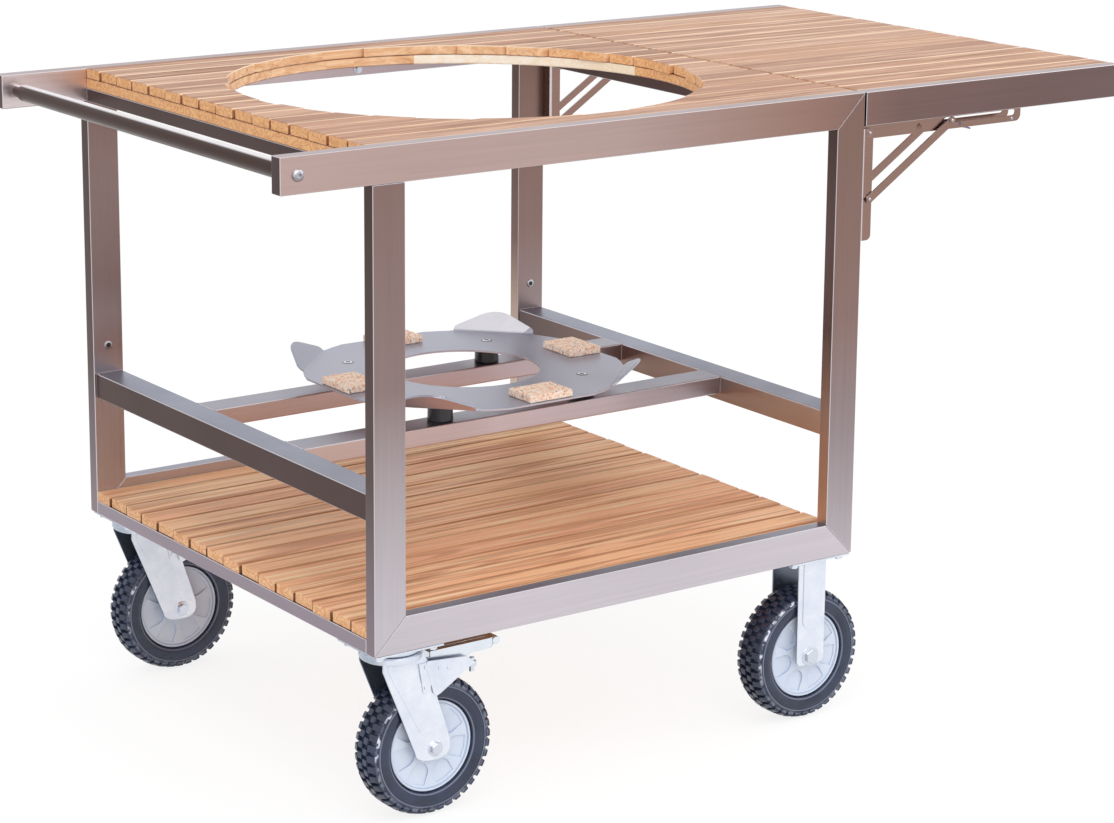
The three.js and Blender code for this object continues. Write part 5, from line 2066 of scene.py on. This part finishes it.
@dataclass
class Wheel:
    """A knobbly rubber tyre on a moulded rim, modelled once and repeated."""

    radius: float = 100.0 * MM
    half: float = 26.0 * MM
    lugs: int = 40
    lug_length: float = 11.4 * MM
    lug_depth: float = 6.0 * MM
    lug_round: float = 1.0 * MM
    lug_drop: float = 0.62
    lug_taper: Point = (0.82, 0.9, 1.0)
    petals: int = 7
    petal_radius: float = 14.5 * MM
    petal_at: float = 41.0 * MM
    petal_end: float = 57.5 * MM
    petal_depth: float = 2.1 * MM
    petal_tilt: float = -3.0
    petal_brow: tuple[float, ...] = (1.1, 0.5, 0.0, -0.5, -1.1)
    petal_sag: float = 2.0 * MM
    pocket_tall: float = 12.0 * MM
    face: float = 17.5 * MM
    tyre_half: tuple[Flat, ...] = (
        (0.653, 0.0), (0.655, 0.66), (0.67, 0.8), (0.675, 0.86), (0.69, 0.87), (0.7, 0.93), (0.76, 0.99),
        (0.82, 0.985), (0.848, 0.965), (0.852, 0.995), (0.864, 0.99), (0.868, 0.95), (0.9, 0.87),
        (0.93, 0.76), (0.94, 0.6), (0.945, 0.0))
    rim_half: tuple[Flat, ...] = scaled((
        (6.3, 27.0), (14.5, 27.0), (16.0, 25.5), (17.5, 19.5), (21.0, 18.2), (58.0, 17.5), (60.5, 18.1),
        (62.0, 20.4), (63.8, 21.0), (65.0, 20.2)))
    rows: tuple[tuple[float, float, float], ...] = ((0.46, 0.93, 1.0), (0.03, 0.44, 0.0))

    def tyre(self, centre: Point) -> bpy.types.Object:
        """The carcass with four staggered rows of lugs.

        Args:
            centre: the wheel's middle.

        Returns:
            The tyre.
        """
        upper = [(self.radius * radius, self.half * across) for radius, across in self.tyre_half]
        profile = upper + [(radius, -across) for radius, across in reversed(upper[1:-1])]
        parts = [turned("carcass", Axis.Y, centre, profile, 120)]
        stagger = math.tau / self.lugs / 2
        for row, (inner, outer, drop) in enumerate(self.rows):
            for sign in (-1.0, 1.0):
                parts.append(self.row(centre, sign * inner, sign * outer, drop,
                                      stagger if (row == 0) == (sign > 0.0) else 0.0))
        return joined("tyre", parts)

    def row(self, centre: Point, inner: float, outer: float, drop: float, phase: float) -> bpy.types.Object:
        """One row of lugs round the tyre.

        Args:
            centre: the wheel's middle.
            inner: the lug's inner edge as a share of the half width.
            outer: its outer edge as a share.
            drop: how far the outer edge falls, as a share of the lug's depth.
            phase: the row's turn in radians.

        Returns:
            The row.
        """
        x, y, z = centre
        near, far = sorted((y + inner * self.half, y + outer * self.half))
        top = z + self.radius - 0.5 * MM
        lug = box("lug", (x - self.lug_length / 2, near, top - self.lug_depth * 1.5),
                  (x + self.lug_length / 2, far, top))
        sign = math.copysign(1.0, outer)
        pick_faces(lug, lambda normal: normal.y * sign > 0.9)
        with editing(lug, "FACE"):
            bpy.ops.transform.translate(value=(0.0, 0.0, -self.lug_depth * drop * self.lug_drop))
        pick_faces(lug, lambda normal: normal.z > 0.7)
        with editing(lug, "FACE"):
            bpy.ops.transform.resize(value=self.lug_taper)
        round_off(lug, self.lug_round, 2, 30.0)
        home = Matrix.Translation(centre)
        lug.data.transform(home @ Matrix.Rotation(phase, 4, "Y") @ home.inverted())
        return self.ringed(lug, centre, self.lugs)

    @staticmethod
    def ringed(piece: bpy.types.Object, centre: Point, count: int) -> bpy.types.Object:
        """Repeats a shape evenly round the axle, in one mesh.

        Args:
            piece: the shape.
            centre: the wheel's middle.
            count: how many there are in all.

        Returns:
            The same piece with all its repeats.
        """
        with editing(piece, whole=True):
            bpy.ops.mesh.spin(steps=count - 1, dupli=True, angle=math.tau * (count - 1) / count,
                              center=centre, axis=Axis.Y.unit)
        return piece

    def rim(self, centre: Point) -> bpy.types.Object:
        """The rim: lip, dished face with tilted petal pockets on both sides, and hub.

        Args:
            centre: the wheel's middle.

        Returns:
            The rim.
        """
        x, y, z = centre
        profile = [*self.rim_half, *((radius, -across) for radius, across in reversed(self.rim_half))]
        rim = turned("rim", Axis.Y, centre, profile, 120)
        outline = arc(x, z + self.petal_at, self.petal_radius, 180.0, 360.0, 20)
        outline += [(x + self.petal_radius * share, z + self.petal_end - abs(share) * self.petal_sag)
                    for share in self.petal_brow]
        floor = self.face - self.petal_depth
        for sign in (-1.0, 1.0):
            pocket = sheet_metal("pocket", outline, y + sign * floor,
                                 y + sign * (floor + self.pocket_tall))
            hub = Vector((x, y + sign * floor, z + self.petal_at))
            tilt = Matrix.Rotation(math.radians(self.petal_tilt) * sign, 4, "X")
            pocket.data.transform(Matrix.Translation(hub) @ tilt @ Matrix.Translation(-hub))
            round_off(pocket, 0.5 * MM, 2, 60.0)
            cut(rim, self.ringed(pocket, centre, self.petals))
        return rim

    def build(self) -> None:
        """Models the front swivel wheel and repeats it on the other casters."""
        home = centre_of("swivel_tyre_front")
        tyre, rim = self.tyre(home), self.rim(home)
        for kind, body in (("swivel", "braked_wheel"), ("fixed", "fixed_wheel")):
            for side in Side:
                shift = tuple(a - b for a, b in zip(centre_of(f"{kind}_tyre_{side.label}"), home))
                name = f"{kind}_wheel_{side.label}"
                ride = f"{body}_{side.label}"
                dressed(copied(tyre, f"{name}_tread", shift), Finishes.TYRE, ride,
                        (f"{kind}_tyre_{side.label}",), 50.0)
                dressed(copied(rim, f"{name}_rim", shift), Finishes.RIM, ride,
                        (f"{kind}_rim_{side.label}",), 30.0)
        bpy.data.objects.remove(tyre)
        bpy.data.objects.remove(rim)


@dataclass
class Caster:
    """Top plates, ball race, forks and axle bolts of the four casters."""

    plate_tall: float = 4.5 * MM
    plate_corner: float = 9.0 * MM
    bolt_inset: float = 12.0 * MM
    bolt_radius: float = 6.5 * MM
    bolt_tall: float = 5.5 * MM
    race_radius: float = 42.0 * MM
    race_tall: float = 7.0 * MM
    race_rim: tuple[Flat, ...] = scaled((
        (4.0, 1.0), (1.0, -0.5), (0.0, -2.0), (0.0, -3.6), (1.2, -4.4), (1.2, -5.4), (0.4, -6.0),
        (2.0, -7.0)))
    nut_radius: float = 11.0 * MM
    nut_tall: float = 5.0 * MM
    pin_radius: float = 7.0 * MM
    crown_radius: float = 44.0 * MM
    crown_tall: float = 12.0 * MM
    doubling: float = 2.2 * MM
    sheet: float = 3.0 * MM
    gap_half: float = 28.0 * MM
    swivel_leg: tuple[Flat, ...] = scaled((
        (-83.0, 145.0), (-84.0, 126.0), (-32.5, -1.0), (-31.0, -6.5), (-27.0, -11.0), (-20.0, -14.5),
        (-8.0, -16.5), (8.0, -16.5), (17.0, -14.0), (22.5, -9.0), (25.0, -2.0), (24.5, 8.0), (17.0, 34.0),
        (6.0, 66.0), (-1.0, 88.0), (-1.0, 108.0), (-21.0, 145.0)))
    leg_top: float = 145.0 * MM
    leg_fixed_to: float = 100.0 * MM
    rib_bend: Point = (-16.0 * MM, 34.0 * MM, 11.0 * MM)
    rib_left: tuple[Flat, ...] = scaled(((-24.0, -8.0), (-24.5, -20.0)))
    rib_right: tuple[Flat, ...] = scaled(((18.0, -8.0),))
    crown_rim: tuple[Flat, ...] = scaled((
        (5.0, 0.0), (1.5, 2.0), (0.0, 5.0), (0.0, 9.5), (1.5, 11.4), (6.0, 12.0)))
    lug_left: tuple[Flat, ...] = scaled(((24.0, -18.0), (30.0, -54.0)))
    lug_bend: Point = (37.0 * MM, -56.0 * MM, 7.0 * MM)
    lug_right: tuple[Flat, ...] = scaled(((47.0, -18.0),))
    knobs: tuple[Flat, ...] = scaled(((36.0, -24.0), (36.0, -54.0)))
    knob: tuple[Flat, ...] = scaled(((0.0, 0.0), (3.6, 0.0), (3.2, 1.1), (0.0, 1.7)))
    leg_slope: float = math.degrees(math.atan2(-127.0, 51.5))
    fixed_half: float = 26.0 * MM
    fixed_corner: float = 9.0 * MM
    fixed_rib: float = 17.0 * MM
    fixed_rib_low: float = 41.0 * MM
    fixed_rib_inset: float = 2.0 * MM
    web_tall: float = 3.0 * MM
    rib_proud: float = 1.3 * MM
    faint_rib: float = 0.6 * MM
    axle_z: float = WHEEL_RADIUS
    swivel_hexagon: float = 8.6 * MM
    fixed_hexagon: float = 11.4 * MM
    hexagon_tall: float = 6.4 * MM
    shaft_radius: float = 6.0 * MM
    smooth: float = 32.0

    def hexagon_head(self, name: str, axis: Axis, centre: Point, sign: float, radius: float,
                     tall: float) -> bpy.types.Object:
        """A domed hexagon on a thin washer.

        Args:
            name: the bolt's name.
            axis: its axis.
            centre: the middle of its seat.
            sign: which way it stands.
            radius: across the corners, halved.
            tall: its height with the washer.

        Returns:
            The bolt.
        """
        washer = turned("washer", axis, centre,
                        [(0.0, 0.0), (radius * 1.32, 0.0), (radius * 1.32, tall * 0.16 * sign),
                         (radius * 1.24, tall * 0.24 * sign), (0.0, tall * 0.24 * sign)], 40)
        middle = Vector(centre) + axis.unit * (sign * tall * 0.62)
        head = rod("head", axis, tuple(middle), radius, tall * 0.76, 6)
        round_off(head, radius * 0.1, 2, 20.0)
        return joined(name, [head, washer])

    def top_plate(self, name: str, low: Point, high: Point) -> bpy.types.Object:
        """The rounded mounting plate with its four bolts.

        Args:
            name: the plate's name.
            low: lowest corner.
            high: highest corner.

        Returns:
            The plate.
        """
        plate = box("plate", (low[0], low[1], high[2] - self.plate_tall), high)
        bevel_edges(plate, self.plate_corner, lambda first, last: abs(first.z - last.z) > MM, 6)
        round_off(plate, 0.7 * MM, 2, 50.0)
        parts = [plate]
        inset = self.bolt_inset
        for x in (low[0] + inset, high[0] - inset):
            for y in (low[1] + inset, high[1] - inset):
                parts.append(self.hexagon_head("bolt", Axis.Z, (x, y, high[2] - self.plate_tall), -1.0,
                                               self.bolt_radius, self.bolt_tall))
        return joined(name, parts)

    def leg(self, name: str, outline: list[Flat], rib: list[Flat], proud: float, y: float,
            sign: float) -> bpy.types.Object:
        """A fork leg of sheet with a pressed rib on its outer face.

        Args:
            name: the leg's name.
            outline: the leg's outline in X and Z.
            rib: the rib's outline.
            proud: how far the rib stands out.
            y: the caster's middle.
            sign: which side the leg stands on.

        Returns:
            The leg.
        """
        inner, outer = y + sign * self.gap_half, y + sign * (self.gap_half + self.sheet)
        leg = sheet_metal(name, outline, inner, outer)
        round_off(leg, 0.9 * MM, 3, 45.0)
        pressed = sheet_metal("rib", rib, outer - sign * self.sheet / 2, outer + sign * proud)
        round_off(pressed, proud * 0.9, 3, 45.0)
        return joined(name, [leg, pressed])

    def swivel_fork(self, name: str, x: float, y: float, top: float) -> bpy.types.Object:
        """The raked fork of a swivel caster under its crown.

        Args:
            name: the fork's name.
            x: the swivel's axis along X.
            y: the caster's middle.
            top: the crown's upper face.

        Returns:
            The fork.
        """
        axle = x + TRAIL
        lift = top - (self.axle_z + self.leg_top)
        outline = [(axle + a, self.axle_z + b + (lift if b > self.leg_fixed_to else 0.0))
                   for a, b in self.swivel_leg]
        along, up, radius = self.rib_bend
        low_rib = arc(axle + along, self.axle_z + up, radius, self.leg_slope - 90.0, self.leg_slope + 90.0, 8)
        rib = [*((x + a, top + b) for a, b in self.rib_left), *low_rib,
               *((x + a, top + b) for a, b in self.rib_right)]
        parts = [self.leg("leg", outline, rib, self.faint_rib, y, sign) for sign in (-1.0, 1.0)]
        crown = [(0.0, 0.0), (self.gap_half, 0.0),
                 *((self.crown_radius - inset, rise) for inset, rise in self.crown_rim),
                 (0.0, self.crown_tall)]
        parts.append(turned("crown", Axis.Z, (x, y, top - self.crown_tall), crown, 72))
        along, up, radius = self.lug_bend
        doubling = [*((x + a, top + b) for a, b in self.lug_left),
                    *arc(x + along, top + up, radius, 180.0, 360.0, 8),
                    *((x + a, top + b) for a, b in self.lug_right)]
        for sign in (-1.0, 1.0):
            inner = y + sign * (self.gap_half + self.sheet)
            outer = inner + sign * self.doubling
            lug = sheet_metal("lug", doubling, inner - sign * MM, outer)
            parts.append(round_off(lug, 1.3 * MM, 2, 45.0))
            profile = [(out, sign * rise) for out, rise in self.knob]
            for a, b in self.knobs:
                parts.append(turned("knob", Axis.Y, (x + a, outer, top + b), profile, 24))
        return joined(name, parts)

    def axle(self, x: float, y: float, hexagon: float) -> list[bpy.types.Object]:
        """The axle with its hexagon head, nut and washers.

        Args:
            x: the axle's place.
            y: the caster's middle.
            hexagon: the head's size across the corners, halved.

        Returns:
            The shaft and the two heads.
        """
        outer = self.gap_half + self.sheet
        radius = self.shaft_radius
        shaft = turned("shaft", Axis.Y, (x, y, self.axle_z),
                       [(0.0, -outer), (radius, -outer), (radius, outer), (0.0, outer)], 32)
        heads = [self.hexagon_head("head", Axis.Y, (x, y + sign * outer, self.axle_z), sign, hexagon,
                                   self.hexagon_tall) for sign in (-1.0, 1.0)]
        return [shaft, *heads]

    def fixed_fork(self, name: str, low: Point, high: Point) -> bpy.types.Object:
        """The straight fork of a fixed caster with its top plate.

        Args:
            name: the fork's name.
            low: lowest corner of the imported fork.
            high: its highest corner.

        Returns:
            The fork.
        """
        x, y = (low[0] + high[0]) / 2, (low[1] + high[1]) / 2
        top, under = high[2] - self.plate_tall, low[2]
        half, corner = self.fixed_half, self.fixed_corner
        outline = [(x - half, top), *arc(x - half + corner, under + corner, corner, 180.0, 270.0, 6),
                   *arc(x + half - corner, under + corner, corner, 270.0, 360.0, 6), (x + half, top)]
        rib_half, rib_top = self.fixed_rib, top - self.fixed_rib_inset
        rib_end = self.axle_z + self.fixed_rib_low + rib_half
        rib = [(x - rib_half, rib_top), *arc(x, rib_end, rib_half, 180.0, 360.0, 16), (x + rib_half, rib_top)]
        parts = [self.leg("leg", outline, rib, self.rib_proud, y, sign) for sign in (-1.0, 1.0)]
        web = box("web", (x - half, y - self.gap_half, top - self.web_tall),
                  (x + half, y + self.gap_half, top))
        parts += [round_off(web, MM, 2), self.top_plate("plate", low, high)]
        return joined(name, parts)

    def race(self, x: float, y: float, top: float, under: float) -> bpy.types.Object:
        """The swivel's upper race: a dished ring with a bright groove, and the king nut below.

        Args:
            x: the swivel's axis.
            y: the caster's middle.
            top: the plate's lower face.
            under: the king nut's lower face.

        Returns:
            The race.
        """
        profile = [(0.0, MM), *((self.race_radius - inset, along) for inset, along in self.race_rim),
                   (0.0, -self.race_tall)]
        ring = turned("race", Axis.Z, (x, y, top), profile, 72)
        nut = rod("nut", Axis.Z, (x, y, under + self.nut_tall / 2), self.nut_radius, self.nut_tall, 6)
        round_off(nut, MM, 2, 20.0)
        pin = turned("pin", Axis.Z, (x, y, under), [(0.0, 0.0), (self.pin_radius, 0.0),
                                                  (self.pin_radius, top - under), (0.0, top - under)], 32)
        return joined("race", [ring, nut, pin])

    def build(self) -> None:
        """Builds the plates, races, forks and axle bolts of all four casters."""
        for side in Side:
            label = side.label
            low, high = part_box(f"swivel_plate_{label}")
            under, y = high[2] - self.plate_tall, (low[1] + high[1]) / 2
            x = swivel_axis(label)
            head = joined("head", [self.top_plate("plate", (low[0], low[1], under), high),
                                   self.race(x, y, under, low[2])])
            fork = self.swivel_fork("fork", x, y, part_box(f"swivel_fork_{label}")[1][2])
            bolt = joined("bolt", self.axle(x + TRAIL, y, self.swivel_hexagon))
            low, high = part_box(f"fixed_fork_{label}")
            fixed_fork = self.fixed_fork("fixed_fork", low, high)
            fixed_bolt = joined("fixed_bolt", self.axle((low[0] + high[0]) / 2, y, self.fixed_hexagon))
            for name, piece, finish, body, replaces in (
                    ("swivel_head", head, Finishes.ZINC, TABLE_BODY, (f"swivel_plate_{label}",)),
                    ("swivel_yoke", fork, Finishes.ZINC, f"swivel_{label}", (f"swivel_fork_{label}",)),
                    ("swivel_axle", bolt, Finishes.AXLE, f"swivel_{label}", ()),
                    ("fixed_yoke", fixed_fork, Finishes.ZINC, TABLE_BODY, (f"fixed_fork_{label}",)),
                    ("fixed_axle", fixed_bolt, Finishes.AXLE, TABLE_BODY, ())):
                dressed(joined(f"{name}_{label}", [piece]), finish, body, replaces, self.smooth)


@dataclass
class BrakePedal:
    """The foot pedal over a swivel wheel, its side plates and adjusting screw."""

    edge: float = 0.7 * MM
    side_outline: tuple[Flat, ...] = scaled((
        (34.0, 224.0), (39.0, 229.0), (100.0, 224.0), (112.0, 217.0), (113.0, 211.0), (60.0, 179.0),
        (53.0, 176.0), (48.0, 180.0)))
    side_at: float = 31.4 * MM
    side_sheet: float = 2.4 * MM
    dimples: tuple[Flat, ...] = scaled(((58.0, 216.0), (73.0, 213.0)))
    dimple: tuple[Flat, ...] = scaled(((0.0, -1.0), (3.4, -1.0), (3.1, 0.7), (1.6, 1.3), (0.0, 1.3)))
    tread_start: float = 69.0 * MM
    tread_end: float = 14.0 * MM
    tread_half: float = 17.0 * MM
    tread_rise: float = 0.8 * MM
    tread_sunk: float = 0.4 * MM
    tread_slant: float = 3.0 * MM
    screw_at: Point = (119.0 * MM, -20.0 * MM, 203.0 * MM)
    screw_profile: tuple[Flat, ...] = scaled((
        (0.0, -8.0), (3.74, -8.0), (3.74, 0.0), (6.8, 0.5), (6.8, 6.0), (6.12, 7.0), (3.74, 7.0),
        (3.74, 12.0), (0.0, 12.0)))
    roll_radius: float = 6.0 * MM
    roll_at: float = 157.0 * MM
    roll_length: float = 49.0 * MM
    knurls: int = 18

    def plates(self, label: str, x: float, y: float) -> None:
        """The brake's triangular side plates outside the fork.

        Args:
            label: front or back.
            x: the swivel's axis.
            y: the caster's middle.
        """
        parts = []
        for sign in (-1.0, 1.0):
            inner = y + sign * self.side_at
            outer = inner + sign * self.side_sheet
            side = sheet_metal("side", [(x + a, z) for a, z in self.side_outline], inner, outer)
            parts.append(round_off(side, 0.9 * MM, 2, 30.0))
            for a, z in self.dimples:
                profile = [(radius, sign * along) for radius, along in self.dimple]
                parts.append(turned("dimple", Axis.Y, (x + a, outer, z), profile, 20))
        dressed(joined(f"brake_side_plates_{label}", parts), Finishes.ZINC, f"swivel_{label}")

    def pedal(self, label: str, x: float, y: float) -> None:
        """The pedal with its raised tread and the roll at its free end.

        Args:
            label: front or back.
            x: the swivel's axis.
            y: the caster's middle.
        """
        node = f"brake_pedal_{label}"
        (_, _, _), (end, _, top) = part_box(node)
        low, high = top - self.tread_sunk, top + self.tread_rise
        start, stop = x + self.tread_start, end - self.tread_end
        outline = [(start, low), (stop, low), (stop, high), (start + self.tread_slant, high)]
        tread = sheet_metal("tread", outline, y - self.tread_half, y + self.tread_half)
        roll = rod("roll", Axis.Y, (x + self.roll_at, y, top - self.roll_radius), self.roll_radius,
                   self.roll_length, 32)
        parts = [round_off(node_copy(node, "pedal_body"), self.edge, 2),
                 round_off(tread, 0.5 * MM, 2, 30.0), round_off(roll, 1.5 * MM, 3)]
        dressed(joined(f"pedal_{label}", parts), Finishes.PEDAL, f"pedal_{label}", (node,), 40.0)

    def screw(self, label: str, x: float, y: float) -> None:
        """The knurled adjusting screw under the pedal.

        Args:
            label: front or back.
            x: the swivel's axis.
            y: the caster's middle.
        """
        along, across, up = self.screw_at
        screw = turned(f"brake_screw_{label}", Axis.Z, (x + along, y + across, up), self.screw_profile,
                       self.knurls)
        dressed(screw, Finishes.AXLE, f"pedal_{label}", smooth=15.0)

    def build(self) -> None:
        """Builds both pedals with their plates and screws."""
        for side in Side:
            x, y = swivel_axis(side.label), centre_of(f"brake_pedal_{side.label}")[1]
            for part in (self.pedal, self.plates, self.screw):
                part(side.label, x, y)


@dataclass
class FoldingBracket:
    """The slotted folding brackets under the leaf."""

    edge: float = 0.45 * MM
    rivet_radius: float = 2.6 * MM
    rivet_tall: float = 1.0 * MM
    arm_rivet: Flat = (-17.0 * MM, 4.2 * MM)
    bar_half: float = 6.0 * MM
    pivot_rise: float = 97.0 * MM
    bodies: dict[str, str] = field(default_factory=lambda: {
        "bracket_wall": TABLE_BODY, "bracket_arm": LEAF_BODY, "bracket_strut": "strut",
        "bracket_lever": "lever"})
    rivet_shares: tuple[Flat, ...] = ((0.0, -1.0), (1.0, -1.0), (1.0, 0.2), (0.75, 0.8), (0.0, 1.0))

    def rivets(self, name: str, node: str, spot: Flat, body: str) -> None:
        """The two domed rivet heads of a pin, one on each outer flange.

        Args:
            name: what the rivets' names begin with.
            node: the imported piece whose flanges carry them.
            spot: their X and Z.
            body: the body they ride on.
        """
        low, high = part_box(node)
        for word, y, tall in (("near", low[1], -self.rivet_tall), ("far", high[1], self.rivet_tall)):
            profile = [(self.rivet_radius * out, tall * rise) for out, rise in self.rivet_shares]
            rivet = turned(f"{name}_{word}", Axis.Y, (spot[0], y, spot[1]), profile, 24)
            dressed(rivet, Finishes.BOLT, body)

    def build(self) -> None:
        """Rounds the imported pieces' edges and adds rivets."""
        for side in Side:
            label = side.label
            for stem, body in self.bodies.items():
                node = f"{stem}_{label}"
                piece = node_copy(node, f"{node}_steel")
                round_off(piece, self.edge, 2, 50.0)
                lever = stem == "bracket_lever"
                finish = Finishes.LEVER if lever else Finishes.BRACKET
                ride = body if body in (TABLE_BODY, LEAF_BODY) else f"{body}_{label}"
                dressed(piece, finish, ride, (node,))
            low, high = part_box(f"bracket_strut_{label}")
            low_pin = (low[0] + self.bar_half, low[2] + self.bar_half)
            high_pin = (high[0] - self.bar_half, high[2] - self.bar_half)
            low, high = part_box(f"bracket_arm_{label}")
            arm_pin = (high[0] + self.arm_rivet[0], low[2] + self.arm_rivet[1])
            strut = f"strut_{label}"
            for name, stem, body, spot in (
                    ("arm", "arm", LEAF_BODY, arm_pin),
                    ("pivot", "wall", TABLE_BODY, (low_pin[0], low_pin[1] + self.pivot_rise)),
                    ("low", "strut", strut, low_pin), ("high", "strut", strut, high_pin)):
                self.rivets(f"{name}_rivet_{label}", f"bracket_{stem}_{label}", spot, body)


def decks() -> list[SlattedDeck]:
    """The three slatted decks, with their battens over the steel bars.

    Returns:
        Main deck, shelf and leaf.
    """
    batten, beside = 45.0 * MM, 5.0 * MM
    left_bar, right_bar = (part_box(f"deck_crossbar_{end}") for end in ("left", "right"))
    (start, _, _), (end, _, _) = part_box("shelf")
    inset = left_bar[1][0] - start + beside
    middle = (start + end) / 2
    return [
        SlattedDeck("deck", "deck", TABLE_BODY, (
            (left_bar[0][0], left_bar[0][0] + batten), (right_bar[1][0] - batten, right_bar[1][0])),
            Finishes.DECK, 346.5 * MM),
        SlattedDeck("shelf", "shelf", TABLE_BODY, (
            (start + inset, start + inset + batten), (middle - batten / 2, middle + batten / 2),
            (end - inset - batten, end - inset)), Finishes.SHELF),
        SlattedDeck("leaf_deck", "leaf", LEAF_BODY, tuple(
            (low[0], high[0]) for low, high in (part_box(f"leaf_crossbar_{end}") for end in ("near", "far"))),
            Finishes.TEAK)]


def main() -> None:
    """Builds the table's sub-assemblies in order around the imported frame."""
    logging.basicConfig(level=logging.INFO, format="%(name)s: %(message)s")
    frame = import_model()
    Studio().build()
    slots = {"steel": Finishes.LEG, "teak": Finishes.TEAK, "bracket_steel": Finishes.BRACKET,
             "plate_steel": Finishes.PLATE, "zinc": Finishes.ZINC, "rubber": Finishes.TYRE,
             "rim": Finishes.RIM, "pad": Finishes.PAD}
    for entry in frame["record"]["subparts"]:
        materials = frame["nodes"][entry["node"]].data.materials
        materials.clear()
        materials.append(slots[entry["material_slot"]].material())
    assemblies = [SideFrames(), Hardware(), PushHandle(), *decks(), FoldingLeaf(), FoldingBracket(),
                  StandPlate(), Caster(), BrakePedal(), Wheel()]
    for assembly in assemblies:
        assembly.build()
        LOG.info("%s done", type(assembly).__name__)


if __name__ == "__main__":
    main()
